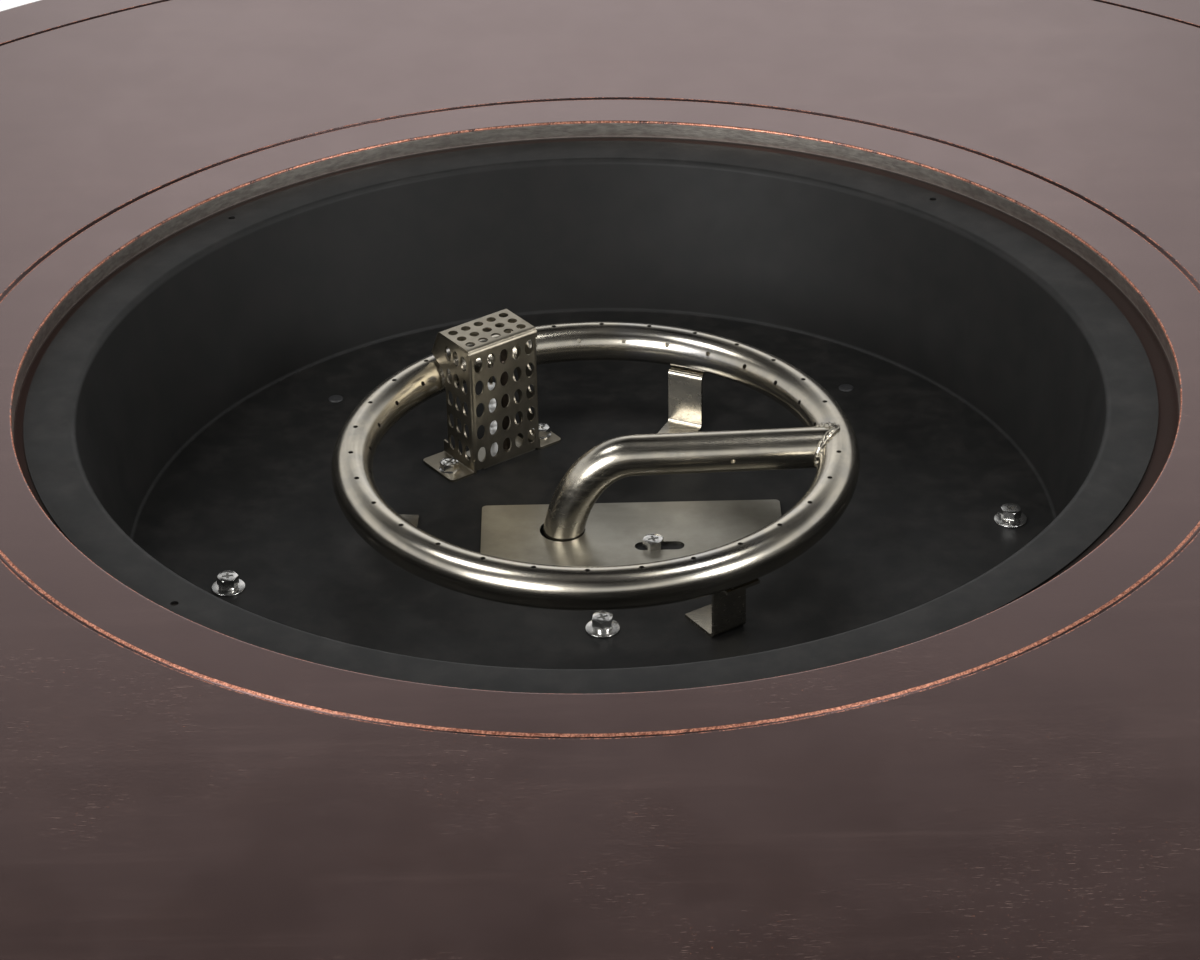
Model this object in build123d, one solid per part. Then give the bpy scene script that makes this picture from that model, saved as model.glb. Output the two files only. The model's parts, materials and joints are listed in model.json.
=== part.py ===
from build123d import *
import math
import os

# Gas fire pit table: a round metal tabletop with a drop-in burner pan, on a square cabinet.
# All sizes are in millimetres. The floor under the table is z = 0, +Z is up, and the table's
# axis is the Z axis.
# The door and the controls face -Y.

# Tabletop
TABLE_HEIGHT = 635.0
TABLE_RADIUS = 686.0
TOP_SHEET = 2.5
OPENING_RADIUS = 330.2
EDGE_BEVEL = 5.0
SKIRT_DEPTH = 42.0
INNER_GROOVE_INSET = 36.3
OUTER_GROOVE_INSET = 56.3
GROOVE_WIDTH = 3.6
GROOVE_DEPTH = 1.3
LEDGE_WIDTH = 28.0
TABLE_SIDES = 64

# Ribs under the tabletop
RIB_COUNT = 8
RIB_FIRST_ANGLE = 22.5
RIB_HEIGHT = 36.0
RIB_SHEET = 4.0
RIB_FOOT = 28.0

# Burner pan
PAN_X = -3.0
PAN_DROP = 10.0
PAN_DEPTH = 100.0
PAN_SHEET = 1.6
PAN_FLANGE_CLEARANCE = 8.5
PAN_WALL_CLEARANCE = 8.6
PAN_TAPER = 20.6
FLANGE_HOLE_INSET = 8.7
FLANGE_HOLE_RADIUS = 2.2
FLANGE_HOLE_ANGLES = (45.7, 135.7, 226.5)
PLUG_INSET = 45.5
PLUG_RADIUS = 4.7
PLUG_STEM_RADIUS = 3.0
PLUG_RISE = 0.6

# Ring burner
RING_X = -1.0
RING_Y = -3.0
RING_RADIUS = 141.0
RING_TUBE_RADIUS = 12.0
RING_HEIGHT = 50.0
TUBE_SIDES = 12
PORT_COUNT = 30
PORT_FIRST_ANGLE = 3.0
PORT_DEPTH = 3.0
TOP_PORT_WIDTH = 2.6
SIDE_PORT_WIDTH = 2.2
SIDE_PORT_LENGTH = 4.2

# Ring brackets
BRACKET_ANGLES = (65.0, -57.0, 176.0)
BRACKET_LEG_RADIUS = 132.0
BRACKET_WIDTH = 22.0
BRACKET_SHEET = 2.0
BRACKET_FOOT = 26.0
BRACKET_TAB = 15.0

# Feed tube
FEED_X = -22.0
FEED_Y = -4.0
FEED_TURN = 2.5
FEED_TUBE_RADIUS = 12.0
FEED_BEND_RADIUS = 44.0
FEED_BEND_STEPS = 6
FEED_TAIL = 36.0
FEED_BORE_RADIUS = 10.0
FEED_BORE_DEPTH = 20.0
FEED_HOLE_CLEARANCE = 1.6
FEED_SADDLE_GAP = 0.75

# Cover plate round the feed tube
COVER_LEFT = -69.0
COVER_RIGHT = 108.0
COVER_FRONT = -75.0
COVER_BACK = 25.0
COVER_SHEET = 1.5
COVER_CORNER = 3.0
SLOT_X = 35.3
SLOT_Y = -24.0
SLOT_LENGTH = 29.0
SLOT_WIDTH = 9.0
COVER_BOLT_X = 31.5

# Igniter shield: its own frame has its origin at the near left corner, on the pan floor
SHIELD_X = -74.3
SHIELD_Y = 64.1
SHIELD_TURN = 35.5
SHIELD_WIDTH = 49.0
SHIELD_HEIGHT = 84.0
SHIELD_TOP_DEPTH = 33.0
SHIELD_SLOPE_DEPTH = 9.0
SHIELD_SLOPE_DROP = 18.0
SHIELD_REAR_EDGE = ((38.0, 63.6), (31.3, 60.3), (28.0, 54.0), (28.0, 0.0))
SHIELD_SHEET = 1.2
SHIELD_BEND = 3.0
SHIELD_FOOT_WIDTH = 16.5
SHIELD_FOOT_LENGTH = 33.0
SHIELD_TOE_GAP = 2.0
SHIELD_SCREW_OUT = 9.5
SHIELD_SCREW_BACK = 13.0
SHIELD_HOLE_COLUMNS = 5
SHIELD_HOLE_ROWS = 5
SHIELD_SIDE_COLUMNS = 3
SHIELD_HOLE_WIDTH = 6.1
SHIELD_HOLE_LENGTH = 10.5
SHIELD_TOP_HOLE = 6.4
SHIELD_HOLE_PITCH = 9.2
SHIELD_ROW_PITCH = 15.3
SHIELD_FIRST_ROW = 11.0
SHIELD_FIRST_SIDE_COLUMN = 7.2
SHIELD_SIDE_PITCH = 8.2
SHIELD_FIRST_TOP_ROW = 8.0

# Igniter parts inside the shield, placed in the shield's own frame
ELECTRODE_AT = (21.0, 10.0)
THERMOCOUPLE_AT = (33.0, 13.0)
INSULATOR_RADIUS = 3.5
INSULATOR_TOP = 51.0
ELECTRODE_WIRE_RADIUS = 1.2
ELECTRODE_WIRE_RISE = 16.0
ELECTRODE_WIRE_REACH = 12.0
THERMOCOUPLE_RADIUS = 3.0
THERMOCOUPLE_TOP = 62.0
THERMOCOUPLE_TIP = 12.0
THERMOCOUPLE_TIP_RADIUS = 2.1
IGNITER_ROD_BELOW = 20.0
IGNITER_PLATE = (8.0, 1.6, 38.0, 22.0)
IGNITER_PLATE_SHEET = 1.5
IGNITER_HOLE_RADIUS = 10.0

# Pan fasteners
LEFT_BOLT_INSET = 55.4
LEFT_BOLT_ANGLE = 195.3
RIGHT_BOLT_INSET = 27.7
RIGHT_BOLT_ANGLE = -0.35
FRONT_BOLT_X = 1.1
FRONT_BOLT_Y = -108.3
BOLT_RADIUS = 3.0
BOLT_HEAD_ACROSS = 11.0
BOLT_HEAD_HEIGHT = 5.0
BOLT_HOLE_CLEARANCE = 0.4
RECESS_LENGTH = 6.0
RECESS_WIDTH = 1.4
RECESS_DEPTH = 1.8
FLAT_WASHER_RADIUS = 9.7
FLAT_WASHER_SHEET = 1.2
SPRING_WASHER_RADIUS = 5.6
SPRING_WASHER_HEIGHT = 2.0
SPRING_WASHER_GAP = 1.5
NUT_ACROSS = 10.0
NUT_HEIGHT = 5.0
SCREW_RADIUS = 2.0
SCREW_HEAD_RADIUS = 4.2
SCREW_HEAD_HEIGHT = 3.0
SCREW_LENGTH = 9.0

# Heat shield below the pan
HEAT_SHIELD_GAP = 16.0
HEAT_SHIELD_INSET = 23.0
HEAT_SHIELD_SHEET = 1.5
HEAT_SHIELD_FEED_HOLE = 21.0
SPACER_RADIUS = 6.0

# Air mixer, shutter and orifice below the burner
MIXER_TOP_GAP = 2.0
MIXER_RADIUS = 17.0
MIXER_LENGTH = 62.0
MIXER_BORE_RADIUS = 10.0
MIXER_SOCKET_DEPTH = 15.0
MIXER_FLOOR = 6.0
MIXER_FLANGE_RADIUS = 21.0
MIXER_WINDOW_WIDTH = 12.0
MIXER_WINDOW_HEIGHT = 18.0
MIXER_WINDOW_RISE = 14.0
SHUTTER_CLEARANCE = 0.25
SHUTTER_SHEET = 1.6
SHUTTER_HEIGHT = 27.0
SHUTTER_TAB = 9.0
SHUTTER_TURN = 20.0
SPUD_RADIUS = 4.5
SPUD_RISE = 8.0
ORIFICE_ACROSS = 17.0
ORIFICE_HEIGHT = 15.0

# Cabinet
BASE_HALF_WIDTH = 350.0
PANEL_SHEET = 1.6
BASE_FLOOR_HEIGHT = 20.0
BASE_FLOOR_SHEET = 2.0
POST_SIZE = 25.0
POST_WALL = 2.0
PANEL_MARGIN = 48.0
PANEL_PRESS = 6.0
PANEL_SLOPE = 8.0
VENT_COUNT = 5
VENT_LENGTH = 64.0
VENT_WIDTH = 7.0
VENT_PITCH = 96.0
VENT_FROM_EDGE = 34.0

# Door
OPENING_LEFT = -12.0
OPENING_RIGHT = 321.0
OPENING_BOTTOM = 50.0
OPENING_BELOW_FRAME = 36.5
DOOR_OVERLAP = 10.0
DOOR_THICKNESS = 18.0
DOOR_GAP = 1.0
DOOR_FLANGE = 24.0
HINGE_INSET = 65.0
HINGE_LENGTH = 60.0
HINGE_BARREL_RADIUS = 5.0
HINGE_PIN_RADIUS = 2.5
HINGE_PIN_PRESS = 0.02
HINGE_PIN_RUN = 0.08
HINGE_LEAF = 2.0
HINGE_LEAF_WIDTH = 12.0
HINGE_GAP = 0.3
PULL_FROM_EDGE = 34.0
PULL_HEIGHT = 330.0
PULL_STEM_RADIUS = 6.0
PULL_STEM_LENGTH = 10.0
PULL_HEAD_RADIUS = 15.0
PULL_HEAD_LENGTH = 12.0
PULL_BEVEL = 3.0
CATCH_HEIGHT = 40.0
CATCH_NOSE = 11.5
CATCH_BACK = 18.0
CATCH_DEPTH = 16.0
STRIKE_SHEET = 0.7

# Controls
CONTROL_PLATE_SHEET = 2.0
CONTROL_PLATE_LEFT = -268.0
CONTROL_PLATE_RIGHT = -62.0
CONTROL_PLATE_HEIGHT = 110.0
CONTROL_WINDOW_MARGIN = 16.0
CONTROL_BELOW_FRAME = 79.5
KNOB_X = -208.0
BUTTON_X = -118.0
VALVE_WIDTH = 40.0
VALVE_HEIGHT = 44.0
VALVE_DEPTH = 36.0
VALVE_STANDOFF = 10.0
VALVE_STUB_RADIUS = 9.0
VALVE_STUB_LENGTH = 6.0
VALVE_NUT_ACROSS = 24.0
VALVE_NUT_HEIGHT = 4.0
SPINDLE_RADIUS = 6.0
SPINDLE_STEM_RADIUS = 4.0
SPINDLE_RUN = 0.08
SPINDLE_SEAT_DEPTH = 5.0
KNOB_TRAVEL = 4.0
KNOB_CLEARANCE = 2.3
KNOB_SKIRT_RADIUS = 26.0
KNOB_SKIRT_HEIGHT = 7.0
KNOB_GRIP_RADIUS = 18.0
KNOB_GRIP_HEIGHT = 18.0
KNOB_GRIP_TAPER = 2.0
POINTER_WIDTH = 3.0
POINTER_RISE = 3.0
POINTER_INSET = 3.0
KNOB_SIDES = 16
KNOB_STEM_LENGTH = 14.0
BEZEL_RADIUS = 33.0
BEZEL_INNER_RADIUS = 28.0
BEZEL_HEIGHT = 2.0
BEZEL_SIDES = 24
BUTTON_RADIUS = 8.0
BUTTON_TRAVEL = 5.0
BUTTON_RISE = 8.0
BUTTON_DEPTH = 10.0
HOUSING_RADIUS = 11.0
HOUSING_FLANGE_RADIUS = 14.0
HOUSING_FLANGE_HEIGHT = 2.5
HOUSING_LENGTH = 62.0
INLET_RADIUS = 7.94
INLET_LENGTH = 14.0
INLET_HEX_ACROSS = 19.0
INLET_HEX_HEIGHT = 8.0
INLET_BORE_RADIUS = 4.0

# Gas line and leads below the pan
GAS_LINE_RADIUS = 4.75
GAS_LINE_SIDES = 6
GAS_LINE_BEND = 22.0
BEND_CHORDS = 3
GAS_LINE_Y = -262.0
GAS_LINE_DROP = 22.9
LEAD_RADIUS = 1.5
LEAD_SIDES = 4
LEAD_BEND = 12.0
LEAD_Y = -276.0
LEAD_DROP = 15.9
THERMO_LEAD_DROP = 23.9
THERMO_LEAD_SHIFT = 12.0

# Cylinder retainer on the cabinet floor
TANK_X = 158.0
TANK_RING_RADIUS = 107.0
TANK_RING_WALL = 2.0
TANK_RING_HEIGHT = 18.0
TANK_RING_SIDES = 32

# Levelling feet
FOOT_INSET = 16.0
FOOT_RADIUS = 16.0
FOOT_HEIGHT = 10.0
FOOT_STEM_RADIUS = 4.0
FOOT_STEM_TOP = 45.0
FOOT_NUT_ACROSS = 13.0
FOOT_NUT_HEIGHT = 6.5

# General values
FIT = 0.05
WELD_GAP = 0.2
SIDES = 8
ROUND_SIDES = 12
CUT = 1.0
STANDING = (Align.CENTER, Align.CENTER, Align.MIN)

# Radii that follow from the opening and the table's edge
LEDGE_RADIUS = OPENING_RADIUS - LEDGE_WIDTH
PAN_FLANGE_RADIUS = OPENING_RADIUS - PAN_FLANGE_CLEARANCE
PAN_MOUTH_RADIUS = LEDGE_RADIUS - PAN_WALL_CLEARANCE
PAN_FLOOR_RADIUS = PAN_MOUTH_RADIUS - PAN_TAPER
FLANGE_HOLES_AT = PAN_FLANGE_RADIUS - FLANGE_HOLE_INSET
PLUGS_AT = PAN_FLOOR_RADIUS - PLUG_INSET

# Heights that follow from the sizes above
PAN_FLANGE_TOP = TABLE_HEIGHT - PAN_DROP
LEDGE_TOP = PAN_FLANGE_TOP - PAN_SHEET
PAN_FLOOR = PAN_FLANGE_TOP - PAN_DEPTH
PAN_UNDER = PAN_FLOOR - PAN_SHEET
RING_Z = PAN_FLOOR + RING_HEIGHT
HEAT_SHIELD_TOP = PAN_UNDER - HEAT_SHIELD_GAP
HEAT_SHIELD_UNDER = HEAT_SHIELD_TOP - HEAT_SHIELD_SHEET
FRAME_TOP = TABLE_HEIGHT - TOP_SHEET - RIB_HEIGHT
FRAME_HALF = BASE_HALF_WIDTH - PANEL_SHEET
OPENING_TOP = FRAME_TOP - OPENING_BELOW_FRAME
HINGE_HEIGHTS = (OPENING_BOTTOM + HINGE_INSET, OPENING_TOP - HINGE_INSET)
CONTROL_HEIGHT = FRAME_TOP - CONTROL_BELOW_FRAME
CONTROL_PLATE_BOTTOM = CONTROL_HEIGHT - CONTROL_PLATE_HEIGHT / 2
CONTROL_PLATE_TOP = CONTROL_HEIGHT + CONTROL_PLATE_HEIGHT / 2
FLOOR_TOP = BASE_FLOOR_HEIGHT + BASE_FLOOR_SHEET
FRONT_FACE = -BASE_HALF_WIDTH
PLATE_FACE = FRONT_FACE - CONTROL_PLATE_SHEET
MIXER_TOP = HEAT_SHIELD_UNDER - MIXER_TOP_GAP
MIXER_BOTTOM = MIXER_TOP - MIXER_LENGTH
GAS_LINE_LOW = MIXER_BOTTOM - ORIFICE_HEIGHT - GAS_LINE_DROP
LEAD_LOW = HEAT_SHIELD_UNDER - LEAD_DROP
THERMO_LEAD_LOW = HEAT_SHIELD_UNDER - THERMO_LEAD_DROP


def rod(radius, height, sides=SIDES):
    """A many-sided bar that stays inside the radius, standing on z = 0."""
    return extrude(RegularPolygon(radius, sides), height)


def bore(radius, height, sides=SIDES):
    """A many-sided cutter that stays outside the radius, standing on z = 0."""
    return extrude(RegularPolygon(radius, sides, major_radius=False), height)


def hexagon(across, height):
    """A hexagonal bar, given by its size across flats, standing on z = 0."""
    return extrude(RegularPolygon(across / 2, 6, major_radius=False), height)


def box(x, y, z):
    """A box given by its low and high values along each axis."""
    middle = [(low + high) / 2 for low, high in (x, y, z)]
    return Pos(*middle) * Box(x[1] - x[0], y[1] - y[0], z[1] - z[0])


def drum(low_radius, low, high_radius, high, x=0.0):
    """A many-sided drum or cone between two heights, its flat sides at the radii."""
    outlines = []
    for radius, level in ((low_radius, low), (high_radius, high)):
        outline = RegularPolygon(radius, TABLE_SIDES, major_radius=False, rotation=180 / TABLE_SIDES)
        outlines.append(Pos(x, 0, level) * outline)
    return loft(outlines, ruled=True)


def facing_front(solid, x, y, z):
    """Turn a solid that stands on z = 0 so that it points along -Y, and place it."""
    return Pos(x, y, z) * Rot(90, 0, 0) * solid


def polar(radius, angle, x=0.0, y=0.0):
    """The point at a radius and an angle in degrees about a centre."""
    turn = math.radians(angle)
    return x + radius * math.cos(turn), y + radius * math.sin(turn)


def shield_point(along, back):
    """World x and y of a point in the shield's own frame."""
    turn = math.radians(SHIELD_TURN)
    x = SHIELD_X + along * math.cos(turn) - back * math.sin(turn)
    y = SHIELD_Y + along * math.sin(turn) + back * math.cos(turn)
    return x, y


def save(name, *solids):
    """Write one node: a single solid, or a group of separate solids."""
    shape = solids[0] if len(solids) == 1 else Compound(list(solids))
    export_step(shape, f"parts/{name}.step")


def groove(radius):
    """Cutter for a V-groove round the tabletop, twice as high as the groove is deep."""
    low = TABLE_HEIGHT - GROOVE_DEPTH
    high = TABLE_HEIGHT + GROOVE_DEPTH
    outer = drum(radius, low, radius + GROOVE_WIDTH, high)
    return outer - drum(radius, low, radius - GROOVE_WIDTH, high)


def make_tabletop():
    """Spun sheet with two grooves, a folded skirt and a ledge that carries the pan's flange."""
    top = TABLE_HEIGHT
    skirt = top - SKIRT_DEPTH
    shoulder = top - EDGE_BEVEL
    inside = TABLE_RADIUS - EDGE_BEVEL
    wall = OPENING_RADIUS + TOP_SHEET
    ledge_under = LEDGE_TOP - TOP_SHEET
    tabletop = drum(TABLE_RADIUS, skirt, TABLE_RADIUS, shoulder) + drum(TABLE_RADIUS, shoulder, inside, top)
    tabletop -= drum(inside, skirt - CUT, inside, top - TOP_SHEET)
    tabletop += drum(wall, ledge_under, wall, top)
    tabletop -= drum(OPENING_RADIUS, LEDGE_TOP, OPENING_RADIUS, top + CUT)
    tabletop -= drum(LEDGE_RADIUS, ledge_under - CUT, LEDGE_RADIUS, top + CUT)
    tabletop -= groove(OPENING_RADIUS + INNER_GROOVE_INSET)
    return tabletop - groove(TABLE_RADIUS - OUTER_GROOVE_INSET)


def make_ribs():
    """Angle-section ribs that stiffen the top and stand on the cabinet frame."""
    start = (OPENING_RADIUS + TOP_SHEET) / math.cos(math.pi / TABLE_SIDES) + WELD_GAP
    inside = TABLE_RADIUS - EDGE_BEVEL
    end = math.sqrt(inside**2 - RIB_FOOT**2) - CUT
    upright = box((start, end), (0, RIB_SHEET), (FRAME_TOP, FRAME_TOP + RIB_HEIGHT))
    foot = box((start, end), (0, RIB_FOOT), (FRAME_TOP, FRAME_TOP + RIB_SHEET))
    rib = upright + foot
    step = 360 / RIB_COUNT
    return [Rot(0, 0, RIB_FIRST_ANGLE + step * i) * rib for i in range(RIB_COUNT)]


def make_pan():
    """Drop-in bowl with a flat flange, tapered wall and drilled floor."""
    wall_foot = PAN_FLOOR_RADIUS + PAN_SHEET
    wall_top = PAN_MOUTH_RADIUS + PAN_SHEET
    pan = drum(wall_foot, PAN_UNDER, wall_top, LEDGE_TOP, PAN_X)
    pan += drum(PAN_FLANGE_RADIUS, LEDGE_TOP, PAN_FLANGE_RADIUS, PAN_FLANGE_TOP, PAN_X)
    pan -= drum(PAN_FLOOR_RADIUS, PAN_FLOOR, PAN_MOUTH_RADIUS, PAN_FLANGE_TOP, PAN_X)
    depth = PAN_SHEET + 2 * CUT
    holes = []
    for angle in FLANGE_HOLE_ANGLES:
        x, y = polar(FLANGE_HOLES_AT, angle, PAN_X)
        holes.append(Pos(x, y, LEDGE_TOP - CUT) * bore(FLANGE_HOLE_RADIUS, depth))
    for x, y in pan_bolt_places() + [(COVER_BOLT_X, SLOT_Y)]:
        holes.append(Pos(x, y, PAN_UNDER - CUT) * bore(BOLT_RADIUS + BOLT_HOLE_CLEARANCE, depth))
    for x, y in plug_places():
        holes.append(Pos(x, y, PAN_UNDER - CUT) * bore(PLUG_STEM_RADIUS, depth))
    for x, y in shield_screw_places():
        holes.append(Pos(x, y, PAN_UNDER - CUT) * bore(SCREW_RADIUS, depth))
    feed_hole = FEED_TUBE_RADIUS + FEED_HOLE_CLEARANCE
    holes.append(Pos(FEED_X, FEED_Y, PAN_UNDER - CUT) * bore(feed_hole, depth))
    x, y = igniter_hole_place()
    holes.append(Pos(x, y, PAN_UNDER - CUT) * bore(IGNITER_HOLE_RADIUS, depth))
    return pan - holes


def plug_places():
    """Centres of the plugs that close the spare holes in the pan floor."""
    return [polar(PLUGS_AT, 45 + 90 * i, PAN_X) for i in range(4)]


def pan_bolt_places():
    """Centres of the three bolts through the pan floor."""
    left = polar(PAN_FLOOR_RADIUS - LEFT_BOLT_INSET, LEFT_BOLT_ANGLE, PAN_X)
    right = polar(PAN_FLOOR_RADIUS - RIGHT_BOLT_INSET, RIGHT_BOLT_ANGLE, PAN_X)
    return [left, right, (FRONT_BOLT_X, FRONT_BOLT_Y)]


def shield_screw_places():
    """Centres of the two screws through the shield's feet."""
    left = shield_point(-SHIELD_SCREW_OUT, SHIELD_SCREW_BACK)
    right = shield_point(SHIELD_WIDTH + SHIELD_SCREW_OUT, SHIELD_SCREW_BACK)
    return [left, right]


def igniter_hole_place():
    """Centre of the floor hole that the igniter parts come up through."""
    along = (ELECTRODE_AT[0] + THERMOCOUPLE_AT[0]) / 2
    back = (ELECTRODE_AT[1] + THERMOCOUPLE_AT[1]) / 2
    return shield_point(along, back)


def make_plugs():
    """Button plugs with a low head above the pan floor and a short stem in the hole."""
    plugs = []
    for x, y in plug_places():
        head = Pos(x, y, PAN_FLOOR) * rod(PLUG_RADIUS, PLUG_RISE, ROUND_SIDES)
        stem = Pos(x, y, PAN_UNDER) * rod(PLUG_STEM_RADIUS - FIT, PAN_SHEET + PLUG_RISE)
        plugs.append(head + stem)
    return plugs


def tube_section(angle):
    """The burner tube's section in the plane at an angle round the ring, a flat side up."""
    turn = math.radians(angle)
    radial = (math.cos(turn), math.sin(turn), 0)
    tangent = (-math.sin(turn), math.cos(turn), 0)
    plane = Plane(origin=(radial[0] * RING_RADIUS, radial[1] * RING_RADIUS, 0), x_dir=radial, z_dir=tangent)
    half_side = 180 / TUBE_SIDES
    polygon = RegularPolygon(RING_TUBE_RADIUS, TUBE_SIDES, major_radius=False, rotation=half_side)
    return plane * polygon


def make_ring():
    """Ring burner rolled in short straights: one has a port on top, the next one on its inner side."""
    pitch = 360 / PORT_COUNT
    quarter = pitch / 4
    depth = 2 * PORT_DEPTH
    top_straight = loft([tube_section(-quarter), tube_section(quarter)], ruled=True)
    top_cut = Pos(RING_RADIUS, 0, RING_TUBE_RADIUS) * Box(TOP_PORT_WIDTH, TOP_PORT_WIDTH, depth)
    side_straight = loft([tube_section(quarter), tube_section(3 * quarter)], ruled=True)
    rise = 360 / TUBE_SIDES
    wall = Pos(RING_RADIUS, 0, 0) * Rot(0, rise, 0) * Pos(-RING_TUBE_RADIUS, 0, 0)
    side_cut = Rot(0, 0, pitch / 2) * wall * Box(depth, SIDE_PORT_WIDTH, SIDE_PORT_LENGTH)
    pair = [top_straight - top_cut, side_straight - side_cut]
    straights = []
    for i in range(PORT_COUNT):
        straights += [Rot(0, 0, PORT_FIRST_ANGLE + pitch * i) * piece for piece in pair]
    ring = straights[0].fuse(*straights[1:])
    return Pos(RING_X, RING_Y, RING_Z) * ring


def make_ring_brackets():
    """Z-shaped strips that carry the ring on the pan floor, each with its foot turned in."""
    leg = BRACKET_LEG_RADIUS
    under = RING_Z - RING_TUBE_RADIUS
    half = BRACKET_WIDTH / 2
    width = (-half, half)
    foot = box((leg - BRACKET_FOOT, leg + BRACKET_SHEET), width, (PAN_FLOOR, PAN_FLOOR + BRACKET_SHEET))
    upright = box((leg, leg + BRACKET_SHEET), width, (PAN_FLOOR, under))
    tab = box((leg, leg + BRACKET_TAB), width, (under - BRACKET_SHEET, under))
    bracket = foot + upright + tab
    return [Pos(RING_X, RING_Y, 0) * Rot(0, 0, angle) * bracket for angle in BRACKET_ANGLES]


def feed_section(distance, height, lean):
    """The feed tube's section at a distance along its run, leaning from upright by an angle."""
    slope = math.radians(lean)
    normal = (math.cos(slope), 0, math.sin(slope))
    plane = Plane(origin=(distance, 0, height), x_dir=(0, 1, 0), z_dir=normal)
    half_side = 180 / TUBE_SIDES
    return plane * RegularPolygon(FEED_TUBE_RADIUS, TUBE_SIDES, major_radius=False, rotation=half_side)


def make_feed_tube():
    """Feed tube: up through the pan floor, round a bend and along to the ring's inner side."""
    bend = FEED_BEND_RADIUS
    bottom = PAN_FLOOR - FEED_TAIL
    reach = RING_X + RING_RADIUS - FEED_X
    sections = [feed_section(reach, RING_Z, 0)]
    for i in range(FEED_BEND_STEPS + 1):
        lean = 90 * i / FEED_BEND_STEPS
        turn = math.radians(lean)
        distance = bend - bend * math.sin(turn)
        sections.append(feed_section(distance, RING_Z - bend + bend * math.cos(turn), lean))
    sections.append(feed_section(0, bottom, 90))
    tube = loft(sections, ruled=True)
    mouth = Pos(0, 0, bottom - CUT) * bore(FEED_BORE_RADIUS, FEED_BORE_DEPTH + CUT)
    tube = Pos(FEED_X, FEED_Y, 0) * Rot(0, 0, FEED_TURN) * (tube - mouth)
    wall = Pos(RING_X, RING_Y, RING_Z) * Rot(0, 0, FEED_TURN) * Pos(RING_RADIUS, 0, 0) * Rot(90, 0, 0)
    saddle_radius = RING_TUBE_RADIUS + FEED_SADDLE_GAP
    saddle = RegularPolygon(saddle_radius, TUBE_SIDES, major_radius=False, rotation=180 / TUBE_SIDES)
    return tube - wall * extrude(saddle, RING_RADIUS / 2, both=True)


def make_cover_plate():
    """Loose plate that closes the floor round the feed tube, with an adjusting slot."""
    width = COVER_RIGHT - COVER_LEFT
    length = COVER_BACK - COVER_FRONT
    middle = Pos((COVER_LEFT + COVER_RIGHT) / 2, (COVER_FRONT + COVER_BACK) / 2, PAN_FLOOR)
    outline = chamfer(Rectangle(width, length).vertices(), COVER_CORNER)
    plate = middle * extrude(outline, COVER_SHEET)
    depth = COVER_SHEET + 2 * CUT
    feed_hole = Pos(FEED_X, FEED_Y, PAN_FLOOR - CUT) * bore(FEED_TUBE_RADIUS + FEED_HOLE_CLEARANCE, depth)
    slot = Pos(SLOT_X, SLOT_Y, PAN_FLOOR - CUT) * extrude(SlotOverall(SLOT_LENGTH, SLOT_WIDTH), depth)
    return plate - feed_hole - slot


def oval_cut(width, length):
    """Cutter for an upright oval hole with eight corners, along Y and centred on the origin."""
    half_width = width / 2
    half_length = length / 2
    flat = half_width * math.tan(math.radians(22.5))
    straight = half_length - half_width + flat
    corners = [(half_width, straight), (flat, half_length), (-flat, half_length), (-half_width, straight)]
    mirrored = [(-x, -y) for x, y in corners]
    outline = make_face(Polyline(*corners, *mirrored, close=True))
    return Rot(90, 0, 0) * extrude(outline, 2 * CUT, both=True)


def shield_rows():
    """Heights of the shield's hole rows above the pan floor."""
    first = SHIELD_HEIGHT - SHIELD_FIRST_ROW
    return [first - SHIELD_ROW_PITCH * i for i in range(SHIELD_HOLE_ROWS)]


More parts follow.
